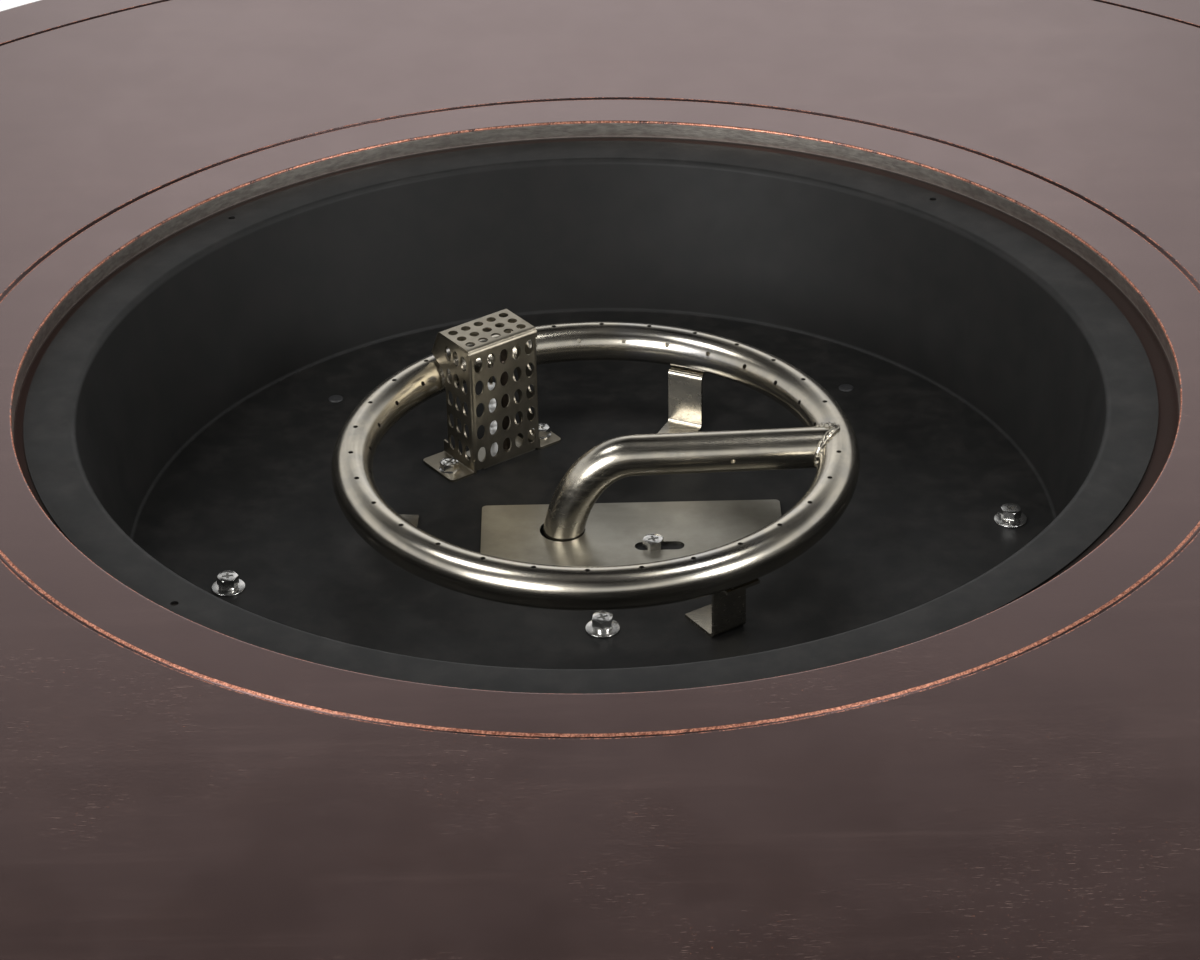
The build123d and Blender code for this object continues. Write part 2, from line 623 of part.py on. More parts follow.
def make_shield():
    """Perforated igniter shield folded from one sheet: front, sides, top, rear slope and two feet."""
    sheet = SHIELD_SHEET
    height = SHIELD_HEIGHT
    slope_end = SHIELD_TOP_DEPTH + SHIELD_SLOPE_DEPTH
    slope_foot = height - SHIELD_SLOPE_DROP
    slope_angle = math.atan2(SHIELD_SLOPE_DROP, SHIELD_SLOPE_DEPTH)
    inner_top_depth = SHIELD_TOP_DEPTH - sheet * math.tan(slope_angle / 2)
    inner_slope_end = inner_top_depth + (height - sheet - slope_foot) / math.tan(slope_angle)
    outer = [
        (0, 0, 0),
        (0, 0, height - SHIELD_BEND),
        (0, SHIELD_BEND, height),
        (0, SHIELD_TOP_DEPTH, height),
        (0, slope_end, slope_foot),
        *[(0, back, up) for back, up in SHIELD_REAR_EDGE],
    ]
    inner = [
        (0, sheet, -CUT),
        (0, sheet, height - SHIELD_BEND - sheet / 2),
        (0, SHIELD_BEND + sheet / 2, height - sheet),
        (0, inner_top_depth, height - sheet),
        (0, inner_slope_end, slope_foot),
        (0, slope_end + CUT, slope_foot),
        (0, slope_end + CUT, -CUT),
    ]
    outside = extrude(make_face(Polyline(*outer, close=True)), SHIELD_WIDTH, dir=(1, 0, 0))
    inside = extrude(make_face(Polyline(*inner, close=True)), SHIELD_WIDTH - 2 * sheet, dir=(1, 0, 0))
    shell = outside - Pos(sheet, 0, 0) * inside
    toe = box((sheet, SHIELD_WIDTH - sheet), (-CUT, sheet + CUT), (-CUT, SHIELD_TOE_GAP))
    left_foot = box((-SHIELD_FOOT_WIDTH, sheet), (0, SHIELD_FOOT_LENGTH), (0, sheet))
    right_foot = Pos(SHIELD_WIDTH + SHIELD_FOOT_WIDTH - sheet, 0, 0) * left_foot
    shell = shell - toe + left_foot + right_foot
    screw_hole = Pos(0, SHIELD_SCREW_BACK, -CUT) * bore(SCREW_RADIUS, sheet + 2 * CUT)
    cuts = [Pos(-SHIELD_SCREW_OUT, 0, 0) * screw_hole]
    cuts.append(Pos(SHIELD_WIDTH + SHIELD_SCREW_OUT, 0, 0) * screw_hole)
    first_column = (SHIELD_WIDTH - SHIELD_HOLE_PITCH * (SHIELD_HOLE_COLUMNS - 1)) / 2
    front_hole = oval_cut(SHIELD_HOLE_WIDTH, SHIELD_HOLE_LENGTH)
    side_hole = Rot(0, 0, 90) * front_hole
    top_hole = Pos(0, 0, -CUT) * bore(SHIELD_TOP_HOLE / 2, sheet + 2 * CUT)
    for column in range(SHIELD_HOLE_COLUMNS):
        along = first_column + SHIELD_HOLE_PITCH * column
        cuts += [Pos(along, sheet / 2, row) * front_hole for row in shield_rows()]
        for row in range(SHIELD_SIDE_COLUMNS):
            back = SHIELD_FIRST_TOP_ROW + SHIELD_HOLE_PITCH * row
            cuts.append(Pos(along, back, height - sheet) * top_hole)
    for column in range(SHIELD_SIDE_COLUMNS):
        back = SHIELD_FIRST_SIDE_COLUMN + SHIELD_SIDE_PITCH * column
        for row in shield_rows():
            cuts.append(Pos(sheet / 2, back, row) * side_hole)
            cuts.append(Pos(SHIELD_WIDTH - sheet / 2, back, row) * side_hole)
    shield = shell - cuts
    return Pos(SHIELD_X, SHIELD_Y, PAN_FLOOR) * Rot(0, 0, SHIELD_TURN) * shield


def make_shield_screws():
    """Pan-head screws through the shield's feet into the pan floor."""
    seat = PAN_FLOOR + SHIELD_SHEET
    recess = Box(RECESS_LENGTH, RECESS_WIDTH, RECESS_DEPTH) + Box(RECESS_WIDTH, RECESS_LENGTH, RECESS_DEPTH)
    screws = []
    for x, y in shield_screw_places():
        head = Pos(x, y, seat) * rod(SCREW_HEAD_RADIUS, SCREW_HEAD_HEIGHT, ROUND_SIDES)
        shank = Pos(x, y, seat - SCREW_LENGTH) * rod(SCREW_RADIUS - FIT, SCREW_LENGTH + CUT)
        screws.append(head + shank - Pos(x, y, seat + SCREW_HEAD_HEIGHT) * recess)
    return screws


def make_igniter():
    """Ceramic insulator, electrode wire, thermocouple and the plate that holds them."""
    bottom = PAN_FLOOR - IGNITER_ROD_BELOW
    spark_x, spark_y = shield_point(*ELECTRODE_AT)
    thermo_x, thermo_y = shield_point(*THERMOCOUPLE_AT)
    insulator_top = PAN_FLOOR + INSULATOR_TOP
    insulator = Pos(spark_x, spark_y, bottom) * rod(INSULATOR_RADIUS, insulator_top - bottom)
    upright = rod(ELECTRODE_WIRE_RADIUS, ELECTRODE_WIRE_RISE, 6)
    arm = Rot(-90, 0, 0) * rod(ELECTRODE_WIRE_RADIUS, ELECTRODE_WIRE_REACH, 6)
    arm = Pos(0, 0, ELECTRODE_WIRE_RISE) * arm
    wire = Pos(spark_x, spark_y, insulator_top) * Rot(0, 0, SHIELD_TURN) * (upright + arm)
    thermo_top = PAN_FLOOR + THERMOCOUPLE_TOP
    stem = Pos(thermo_x, thermo_y, bottom) * rod(THERMOCOUPLE_RADIUS, thermo_top - bottom)
    tip = Pos(thermo_x, thermo_y, thermo_top) * rod(THERMOCOUPLE_TIP_RADIUS, THERMOCOUPLE_TIP)
    left, near, width, length = IGNITER_PLATE
    plate = box((left, left + width), (near, near + length), (0, IGNITER_PLATE_SHEET))
    plate = Pos(SHIELD_X, SHIELD_Y, PAN_FLOOR) * Rot(0, 0, SHIELD_TURN) * plate
    depth = IGNITER_PLATE_SHEET + 2 * CUT
    plate -= Pos(spark_x, spark_y, PAN_FLOOR - CUT) * bore(INSULATOR_RADIUS + FIT, depth)
    plate -= Pos(thermo_x, thermo_y, PAN_FLOOR - CUT) * bore(THERMOCOUPLE_RADIUS + FIT, depth)
    return insulator, wire, stem + tip, plate


def hex_bolt(length):
    """Hex-head bolt with a cross recess: the head stands on z = 0 and the shank hangs below it."""
    head = hexagon(BOLT_HEAD_ACROSS, BOLT_HEAD_HEIGHT)
    shank = Pos(0, 0, -length) * rod(BOLT_RADIUS, length + CUT)
    recess = Box(RECESS_LENGTH, RECESS_WIDTH, 2 * RECESS_DEPTH)
    recess += Box(RECESS_WIDTH, RECESS_LENGTH, 2 * RECESS_DEPTH)
    return head + shank - Pos(0, 0, BOLT_HEAD_HEIGHT) * recess


def washer(radius, height, hole):
    """Flat washer standing on z = 0."""
    return rod(radius, height, ROUND_SIDES) - Pos(0, 0, -CUT) * bore(hole, height + 2 * CUT)


def nut(across, height, thread):
    """Hex nut standing on z = 0."""
    return hexagon(across, height) - Pos(0, 0, -CUT) * bore(thread + FIT, height + 2 * CUT)


def make_pan_fasteners():
    """Bolts, washers, spacers and nuts that hold the heat shield below the pan."""
    hole = BOLT_RADIUS + BOLT_HOLE_CLEARANCE
    flat = washer(FLAT_WASHER_RADIUS, FLAT_WASHER_SHEET, hole)
    split = box((0, SPRING_WASHER_RADIUS + CUT), (0, SPRING_WASHER_GAP), (-CUT, SPRING_WASHER_HEIGHT + CUT))
    spring = washer(SPRING_WASHER_RADIUS, SPRING_WASHER_HEIGHT, hole) - split
    spring_seat = PAN_FLOOR + FLAT_WASHER_SHEET
    head_seat = spring_seat + SPRING_WASHER_HEIGHT
    nut_seat = HEAT_SHIELD_UNDER - NUT_HEIGHT
    bolt = hex_bolt(head_seat - nut_seat + CUT)
    spacer = washer(SPACER_RADIUS, HEAT_SHIELD_GAP, hole)
    groups = {"pan_bolts": [], "spring_washers": [], "flat_washers": [], "spacers": [], "pan_nuts": []}
    for x, y in pan_bolt_places():
        groups["pan_bolts"].append(Pos(x, y, head_seat) * bolt)
        groups["spring_washers"].append(Pos(x, y, spring_seat) * spring)
        groups["flat_washers"].append(Pos(x, y, PAN_FLOOR) * flat)
        groups["spacers"].append(Pos(x, y, HEAT_SHIELD_TOP) * spacer)
        groups["pan_nuts"].append(Pos(x, y, nut_seat) * nut(NUT_ACROSS, NUT_HEIGHT, BOLT_RADIUS))
    return groups


def make_cover_bolt():
    """Bolt through the cover plate's slot, with its nut below the pan."""
    seat = PAN_FLOOR + COVER_SHEET
    nut_seat = PAN_UNDER - NUT_HEIGHT
    bolt = Pos(COVER_BOLT_X, SLOT_Y, seat) * hex_bolt(seat - nut_seat + CUT)
    return bolt, Pos(COVER_BOLT_X, SLOT_Y, nut_seat) * nut(NUT_ACROSS, NUT_HEIGHT, BOLT_RADIUS)


def make_heat_shield():
    """Flat square sheet hung below the pan, open round the feed tube and the igniter."""
    half = PAN_FLOOR_RADIUS - HEAT_SHIELD_INSET
    sheet = box((PAN_X - half, PAN_X + half), (-half, half), (HEAT_SHIELD_UNDER, HEAT_SHIELD_TOP))
    depth = HEAT_SHIELD_SHEET + 2 * CUT
    low = HEAT_SHIELD_UNDER - CUT
    sheet -= Pos(FEED_X, FEED_Y, low) * bore(HEAT_SHIELD_FEED_HOLE, depth)
    x, y = igniter_hole_place()
    sheet -= Pos(x, y, low) * bore(IGNITER_HOLE_RADIUS, depth)
    for x, y in pan_bolt_places():
        sheet -= Pos(x, y, low) * bore(BOLT_RADIUS + BOLT_HOLE_CLEARANCE, depth)
    return sheet


def window_cut(width, height, reach):
    """Two crossed boxes that open four windows in a tube, standing on z = 0."""
    across = box((-reach, reach), (-width / 2, width / 2), (0, height))
    return across + Rot(0, 0, 90) * across


def make_mixer():
    """Air mixer: a socket for the feed tube above four air windows."""
    body = rod(MIXER_RADIUS, MIXER_LENGTH, ROUND_SIDES) + rod(MIXER_FLANGE_RADIUS, MIXER_FLOOR, ROUND_SIDES)
    body -= Pos(0, 0, MIXER_FLOOR) * bore(MIXER_BORE_RADIUS, MIXER_LENGTH)
    tube_corner = FEED_TUBE_RADIUS / math.cos(math.pi / TUBE_SIDES)
    socket = bore(tube_corner + FIT, MIXER_SOCKET_DEPTH + CUT, ROUND_SIDES)
    body -= Pos(0, 0, MIXER_LENGTH - MIXER_SOCKET_DEPTH) * socket
    body -= Pos(0, 0, -CUT) * bore(SPUD_RADIUS + FIT, MIXER_FLOOR + 2 * CUT)
    windows = window_cut(MIXER_WINDOW_WIDTH, MIXER_WINDOW_HEIGHT, MIXER_FLANGE_RADIUS)
    body -= Pos(0, 0, MIXER_WINDOW_RISE) * windows
    return Pos(FEED_X, FEED_Y, MIXER_BOTTOM) * body


def make_shutter():
    """Sleeve clamped on the mixer, half over its windows, with a thumb tab."""
    inner = MIXER_RADIUS + SHUTTER_CLEARANCE
    outer = (inner + SHUTTER_SHEET) / math.cos(math.pi / ROUND_SIDES)
    hole = bore(inner, SHUTTER_HEIGHT + 2 * CUT, ROUND_SIDES)
    sleeve = rod(outer, SHUTTER_HEIGHT, ROUND_SIDES) - Pos(0, 0, -CUT) * hole
    rise = MIXER_WINDOW_RISE - MIXER_FLOOR
    windows = window_cut(MIXER_WINDOW_WIDTH, MIXER_WINDOW_HEIGHT, MIXER_FLANGE_RADIUS + CUT)
    sleeve -= Pos(0, 0, rise) * windows
    tab = box((inner + SHUTTER_CLEARANCE, outer + SHUTTER_TAB), (-SHUTTER_SHEET, SHUTTER_SHEET), (0, rise))
    sleeve += Rot(0, 0, -135) * tab
    return Pos(FEED_X, FEED_Y, MIXER_BOTTOM + MIXER_FLOOR) * Rot(0, 0, SHUTTER_TURN) * sleeve


def make_orifice():
    """Hexagonal orifice holder with its spud inside the mixer."""
    body = hexagon(ORIFICE_ACROSS, ORIFICE_HEIGHT)
    spud = Pos(0, 0, ORIFICE_HEIGHT) * rod(SPUD_RADIUS, MIXER_FLOOR + SPUD_RISE)
    return Pos(FEED_X, FEED_Y, MIXER_BOTTOM - ORIFICE_HEIGHT) * (body + spud)


def chorded(points, bend):
    """Replace each corner of a route by the chords of an arc of the bend radius."""
    route = [Vector(*points[0])]
    for before, corner, after in zip(points, points[1:], points[2:]):
        corner = Vector(*corner)
        back = (Vector(*before) - corner).normalized()
        ahead = (Vector(*after) - corner).normalized()
        half = math.radians(back.get_angle(ahead)) / 2
        middle = corner + (back + ahead).normalized() * (bend / math.sin(half))
        spoke = corner + back * (bend / math.tan(half)) - middle
        for i in range(BEND_CHORDS + 1):
            turn = (math.pi - 2 * half) * i / BEND_CHORDS
            route.append(middle + spoke * math.cos(turn) - back * (bend * math.sin(turn)))
    return route + [Vector(*points[-1])]


def bent_bar(points, radius, sides, bend):
    """A many-sided bar along straight runs joined by the chords of arcs."""
    path = Polyline(*chorded(points, bend))
    start = Plane(origin=path @ 0, z_dir=path % 0)
    return sweep(start * RegularPolygon(radius, sides), path=path, transition=Transition.RIGHT)


def make_gas_line():
    """Bent tube from the valve's rear outlet to the orifice holder."""
    valve_back = FRONT_FACE + VALVE_STANDOFF + VALVE_DEPTH
    end = MIXER_BOTTOM - ORIFICE_HEIGHT
    points = [(KNOB_X, valve_back, CONTROL_HEIGHT), (KNOB_X, GAS_LINE_Y, CONTROL_HEIGHT),
              (KNOB_X, GAS_LINE_Y, GAS_LINE_LOW), (FEED_X, FEED_Y, GAS_LINE_LOW), (FEED_X, FEED_Y, end)]
    return bent_bar(points, GAS_LINE_RADIUS, GAS_LINE_SIDES, GAS_LINE_BEND)


def make_leads():
    """Spark lead from the igniter and thermocouple lead from the valve, run below the heat shield."""
    spark_x, spark_y = shield_point(*ELECTRODE_AT)
    thermo_x, thermo_y = shield_point(*THERMOCOUPLE_AT)
    rod_end = PAN_FLOOR - IGNITER_ROD_BELOW
    housing_back = PLATE_FACE - HOUSING_FLANGE_HEIGHT + HOUSING_LENGTH
    spark = [(BUTTON_X, housing_back, CONTROL_HEIGHT), (BUTTON_X, LEAD_Y, CONTROL_HEIGHT),
             (BUTTON_X, LEAD_Y, LEAD_LOW), (spark_x, spark_y, LEAD_LOW), (spark_x, spark_y, rod_end)]
    valve_back = FRONT_FACE + VALVE_STANDOFF + VALVE_DEPTH
    side = KNOB_X + THERMO_LEAD_SHIFT
    thermo = [(side, valve_back, CONTROL_HEIGHT), (side, LEAD_Y, CONTROL_HEIGHT),
              (side, LEAD_Y, THERMO_LEAD_LOW), (thermo_x, thermo_y, THERMO_LEAD_LOW),
              (thermo_x, thermo_y, rod_end)]
    return [bent_bar(points, LEAD_RADIUS, LEAD_SIDES, LEAD_BEND) for points in (spark, thermo)]


def make_posts():
    """Four square-tube corner posts."""
    place = FRAME_HALF - POST_SIZE / 2
    inner = POST_SIZE - 2 * POST_WALL
    height = FRAME_TOP - POST_SIZE - FLOOR_TOP
    tube = Box(POST_SIZE, POST_SIZE, height) - Box(inner, inner, height + 2 * CUT)
    middle = FLOOR_TOP + height / 2
    return [Pos(x * place, y * place, middle) * tube for x in (-1, 1) for y in (-1, 1)]


def square_tube(length):
    """Square tube along X, centred on the origin."""
    inner = POST_SIZE - 2 * POST_WALL
    return Box(length, POST_SIZE, POST_SIZE) - Box(length + 2 * CUT, inner, inner)


def make_rails():
    """Top rails over the posts and bottom rails between them."""
    place = FRAME_HALF - POST_SIZE / 2
    long_rail = square_tube(2 * FRAME_HALF)
    short_rail = Rot(0, 0, 90) * square_tube(2 * (FRAME_HALF - POST_SIZE))
    top = FRAME_TOP - POST_SIZE / 2
    bottom = FLOOR_TOP + POST_SIZE / 2
    top_rails = [Pos(0, side * place, top) * long_rail for side in (-1, 1)]
    top_rails += [Pos(side * place, 0, top) * short_rail for side in (-1, 1)]
    bottom_rails = [Pos(0, side * place, bottom) * Rot(0, 0, 90) * short_rail for side in (-1, 1)]
    bottom_rails += [Pos(side * place, 0, bottom) * short_rail for side in (-1, 1)]
    return top_rails, bottom_rails


def foot_places():
    """Centres of the levelling feet, under the corner posts."""
    place = FRAME_HALF - FOOT_INSET
    return [(x * place, y * place) for x in (-1, 1) for y in (-1, 1)]


def make_feet():
    """Levelling feet with threaded stems, and their nuts under the cabinet floor."""
    foot = rod(FOOT_RADIUS, FOOT_HEIGHT) + rod(FOOT_STEM_RADIUS, FOOT_STEM_TOP)
    lock = nut(FOOT_NUT_ACROSS, FOOT_NUT_HEIGHT, FOOT_STEM_RADIUS)
    feet = [Pos(x, y, 0) * foot for x, y in foot_places()]
    nuts = [Pos(x, y, BASE_FLOOR_HEIGHT - FOOT_NUT_HEIGHT) * lock for x, y in foot_places()]
    return feet, nuts


def make_base_floor():
    """Cabinet floor under the posts, with holes for the feet."""
    side = 2 * FRAME_HALF
    plate = Pos(0, 0, BASE_FLOOR_HEIGHT + BASE_FLOOR_SHEET / 2) * Box(side, side, BASE_FLOOR_SHEET)
    cutter = bore(FOOT_STEM_RADIUS + BOLT_HOLE_CLEARANCE, BASE_FLOOR_SHEET + 2 * CUT)
    return plate - [Pos(x, y, BASE_FLOOR_HEIGHT - CUT) * cutter for x, y in foot_places()]


def pressed_sheet(width, height):
    """Upright sheet facing -Y with a field pressed inwards, its front face at y = 0."""
    field_width = width - 2 * PANEL_MARGIN
    field_height = height - 2 * PANEL_MARGIN
    slope = 2 * PANEL_SLOPE

    def frustum(grow, front, back):
        wide = Plane(origin=(0, front, 0), x_dir=(1, 0, 0), z_dir=(0, -1, 0))
        deep = Plane(origin=(0, back, 0), x_dir=(1, 0, 0), z_dir=(0, -1, 0))
        mouth = wide * Rectangle(field_width + grow, field_height + grow)
        field = deep * Rectangle(field_width + grow - slope, field_height + grow - slope)
        return loft([mouth, field], ruled=True)

    sheet = box((-width / 2, width / 2), (0, PANEL_SHEET), (-height / 2, height / 2))
    pressed = frustum(2 * PANEL_SHEET, PANEL_SHEET, PANEL_PRESS + PANEL_SHEET)
    hollow = frustum(0, 0, PANEL_PRESS)
    return sheet + pressed - hollow


def vent_row(height, width):
    """Cutters for one row of vents across a pressed sheet."""
    first = -VENT_PITCH * (VENT_COUNT - 1) / 2
    reach = PANEL_PRESS + 2 * PANEL_SHEET
    slot = box((-VENT_LENGTH / 2, VENT_LENGTH / 2), (-CUT, reach), (-VENT_WIDTH / 2, VENT_WIDTH / 2))
    return [Pos(first + VENT_PITCH * i, 0, height) * slot for i in range(VENT_COUNT)]


def panel_span():
    """Middle height and height of the cabinet's panels."""
    height = FRAME_TOP - BASE_FLOOR_HEIGHT
    return BASE_FLOOR_HEIGHT + height / 2, height


def make_side_panels():
    """Left and right panels with vents near the top and the bottom, and a plain back panel."""
    middle, height = panel_span()
    side = pressed_sheet(2 * FRAME_HALF, height)
    row = height / 2 - PANEL_MARGIN - VENT_FROM_EDGE
    vented = side - vent_row(row, VENT_LENGTH) - vent_row(-row, VENT_LENGTH)
    left = Pos(-BASE_HALF_WIDTH, 0, middle) * Rot(0, 0, -90) * vented
    right = Pos(BASE_HALF_WIDTH, 0, middle) * Rot(0, 0, 90) * vented
    back = Pos(0, BASE_HALF_WIDTH, middle) * Rot(0, 0, 180) * pressed_sheet(2 * BASE_HALF_WIDTH, height)
    return left, right, back


def make_front_panel():
    """Front sheet with the door opening and the window behind the control plate."""
    middle, height = panel_span()
    depth = (FRONT_FACE - CUT, FRONT_FACE + PANEL_SHEET + CUT)
    sheet = box((-BASE_HALF_WIDTH, BASE_HALF_WIDTH), (FRONT_FACE, FRONT_FACE + PANEL_SHEET),
                (middle - height / 2, middle + height / 2))
    door_way = box((OPENING_LEFT, OPENING_RIGHT), depth, (OPENING_BOTTOM, OPENING_TOP))
    margin = CONTROL_WINDOW_MARGIN
    window = box((CONTROL_PLATE_LEFT + margin, CONTROL_PLATE_RIGHT - margin), depth,
                 (CONTROL_PLATE_BOTTOM + margin, CONTROL_PLATE_TOP - margin))
    return sheet - door_way - window


def door_span():
    """The door's low and high x and z."""
    across = (OPENING_LEFT - DOOR_OVERLAP, OPENING_RIGHT + DOOR_OVERLAP)
    up = (OPENING_BOTTOM - DOOR_OVERLAP, OPENING_TOP + DOOR_OVERLAP)
    return across, up


def make_door():
    """Overlay door folded from sheet: pressed face, four returns and inward flanges."""
    across, up = door_span()
    back = FRONT_FACE - DOOR_GAP
    front = back - DOOR_THICKNESS
    width = across[1] - across[0]
    height = up[1] - up[0]
    place = Pos((across[0] + across[1]) / 2, front, (up[0] + up[1]) / 2)
    sheet = PANEL_SHEET
    returns = box((-width / 2, width / 2), (0, DOOR_THICKNESS), (-height / 2, height / 2))
    returns -= box((sheet - width / 2, width / 2 - sheet), (-CUT, DOOR_THICKNESS - sheet),
                   (sheet - height / 2, height / 2 - sheet))
    returns -= box((DOOR_FLANGE - width / 2, width / 2 - DOOR_FLANGE), (-CUT, DOOR_THICKNESS + CUT),
                   (DOOR_FLANGE - height / 2, height / 2 - DOOR_FLANGE))
    door = place * (returns + pressed_sheet(width, height))
    screw_hole = facing_front(bore(SCREW_RADIUS, DOOR_THICKNESS), pull_x(), front + sheet + CUT, PULL_HEIGHT)
    return door - screw_hole


def pull_x():
    """Where the pull stands on the door's margin."""
    return OPENING_LEFT - DOOR_OVERLAP + PULL_FROM_EDGE


def make_pull():
    """Round door pull on a stem, and the screw that holds it from inside."""
    front = FRONT_FACE - DOOR_GAP - DOOR_THICKNESS
    stem = rod(PULL_STEM_RADIUS, PULL_STEM_LENGTH + CUT)
    head = Pos(0, 0, PULL_STEM_LENGTH) * rod(PULL_HEAD_RADIUS, PULL_HEAD_LENGTH, BEZEL_SIDES)
    head = chamfer(head.faces().sort_by(Axis.Z)[-1].edges(), PULL_BEVEL)
    socket = Pos(0, 0, -CUT) * bore(SCREW_RADIUS, PULL_STEM_LENGTH + CUT)
    pull = facing_front(stem + head - socket, pull_x(), front, PULL_HEIGHT)
    screw = rod(SCREW_HEAD_RADIUS, SCREW_HEAD_HEIGHT)
    screw += Pos(0, 0, SCREW_HEAD_HEIGHT - CUT) * rod(SCREW_RADIUS - FIT, SCREW_LENGTH)
    seat = front + PANEL_SHEET + SCREW_HEAD_HEIGHT
    return pull, facing_front(screw, pull_x(), seat, PULL_HEIGHT)


def hinge_axis():
    """x and y of the door's hinge axis."""
    across, up = door_span()
    return across[1] + HINGE_BARREL_RADIUS + HINGE_GAP, FRONT_FACE - HINGE_BARREL_RADIUS - HINGE_GAP


def make_hinges():
    """Two butt hinges: outer knuckles on the cabinet, middle knuckle on the door, and a pin through them."""
    x, y = hinge_axis()
    across, up = door_span()
    third = HINGE_LENGTH / 3
    edge = FRONT_FACE
    barrel = HINGE_BARREL_RADIUS
    run = HINGE_PIN_RADIUS + HINGE_PIN_RUN
    press = HINGE_PIN_RADIUS + HINGE_PIN_PRESS
    fixed, moving, pins = [], [], []
    for middle in HINGE_HEIGHTS:
        low = middle - HINGE_LENGTH / 2
        high = middle + HINGE_LENGTH / 2
        knuckles = box((x, x + HINGE_LEAF_WIDTH), (edge - HINGE_LEAF, edge), (low, high))
        for base in (low, high - third):
            knuckles += Pos(x, y, base) * rod(barrel, third, ROUND_SIDES)
            knuckles -= Pos(x, y, base - CUT) * bore(press, third + 2 * CUT, ROUND_SIDES)
        reach = barrel + HINGE_GAP
        gap = (middle - third / 2, middle + third / 2)
        knuckles -= box((x - reach, x + reach), (y - reach, edge + CUT), gap)
        fixed.append(knuckles)
        length = third - 2 * HINGE_GAP
        leaf = box((across[1], across[1] + HINGE_LEAF), (y - HINGE_LEAF_WIDTH, y),
                   (middle - length / 2, middle + length / 2))
        leaf += Pos(x, y, middle - length / 2) * rod(barrel, length, ROUND_SIDES)
        leaf -= Pos(x, y, middle) * Cylinder(run, length + 2 * CUT)
        moving.append(leaf)
        pins.append(Pos(x, y, middle) * Cylinder(HINGE_PIN_RADIUS, HINGE_LENGTH))
    return fixed, moving, pins


def make_catch():
    """Magnet block on the edge of the door opening, and the strike plate on the door's flange."""
    edge = OPENING_LEFT
    low = PULL_HEIGHT - CATCH_HEIGHT / 2
    high = PULL_HEIGHT + CATCH_HEIGHT / 2
    inside = FRONT_FACE + PANEL_SHEET
    back = FRONT_FACE + CATCH_DEPTH
    nose = box((edge + WELD_GAP, edge + CATCH_NOSE), (FRONT_FACE, back), (low, high))
    body = box((edge - CATCH_BACK, edge + CATCH_NOSE), (inside, back), (low, high))
    strike_face = FRONT_FACE - DOOR_GAP
    strike_depth = (strike_face, strike_face + STRIKE_SHEET)
    strike = box((edge + CUT, edge + CATCH_NOSE), strike_depth, (low + CUT, high - CUT))
    return nose + body, strike


def make_control_plate():
    """Plate on the front panel that carries the valve and the igniter button."""
    plate = box((CONTROL_PLATE_LEFT, CONTROL_PLATE_RIGHT), (PLATE_FACE, FRONT_FACE),
                (CONTROL_PLATE_BOTTOM, CONTROL_PLATE_TOP))
    depth = CONTROL_PLATE_SHEET + 2 * CUT
    plate -= facing_front(bore(VALVE_STUB_RADIUS + FIT, depth), KNOB_X, FRONT_FACE + CUT, CONTROL_HEIGHT)
    return plate - facing_front(bore(HOUSING_RADIUS + FIT, depth), BUTTON_X, FRONT_FACE + CUT, CONTROL_HEIGHT)


def make_valve():
    """Gas valve with a threaded stub through the control plate, and the nut on it."""
    back = FRONT_FACE + VALVE_STANDOFF + VALVE_DEPTH
    front = FRONT_FACE + VALVE_STANDOFF
    body = box((KNOB_X - VALVE_WIDTH / 2, KNOB_X + VALVE_WIDTH / 2), (front, back),
               (CONTROL_HEIGHT - VALVE_HEIGHT / 2, CONTROL_HEIGHT + VALVE_HEIGHT / 2))
    shoulder = hexagon(VALVE_NUT_ACROSS, VALVE_STANDOFF)
    body += facing_front(shoulder, KNOB_X, front, CONTROL_HEIGHT)
    stub_length = VALVE_STANDOFF + CONTROL_PLATE_SHEET + VALVE_STUB_LENGTH
    body += facing_front(rod(VALVE_STUB_RADIUS, stub_length), KNOB_X, front, CONTROL_HEIGHT)
    tip = PLATE_FACE - VALVE_STUB_LENGTH
    bore_depth = VALVE_STUB_LENGTH + CONTROL_PLATE_SHEET + SPINDLE_SEAT_DEPTH + KNOB_TRAVEL + CUT
    hole = Pos(0, 0, -CUT) * rod(SPINDLE_RADIUS + SPINDLE_RUN, bore_depth + CUT)
    body -= Pos(KNOB_X, tip, CONTROL_HEIGHT) * Rot(-90, 0, 0) * hole
    lock = nut(VALVE_NUT_ACROSS, VALVE_NUT_HEIGHT, VALVE_STUB_RADIUS)
    return body, facing_front(lock, KNOB_X, PLATE_FACE, CONTROL_HEIGHT)


def knob_back():
    """y of the knob's back face at rest."""
    return PLATE_FACE - VALVE_STUB_LENGTH - KNOB_TRAVEL - KNOB_CLEARANCE


def make_spindle():
    """Spring-loaded spindle that the knob is pushed in with."""
    rear = FRONT_FACE + SPINDLE_SEAT_DEPTH
    shoulder = rear - knob_back()
    stem = Cylinder(SPINDLE_STEM_RADIUS, KNOB_STEM_LENGTH + CUT, align=STANDING)
    spindle = rod(SPINDLE_RADIUS, shoulder) + Pos(0, 0, shoulder - CUT) * stem
    return facing_front(spindle, KNOB_X, rear, CONTROL_HEIGHT)


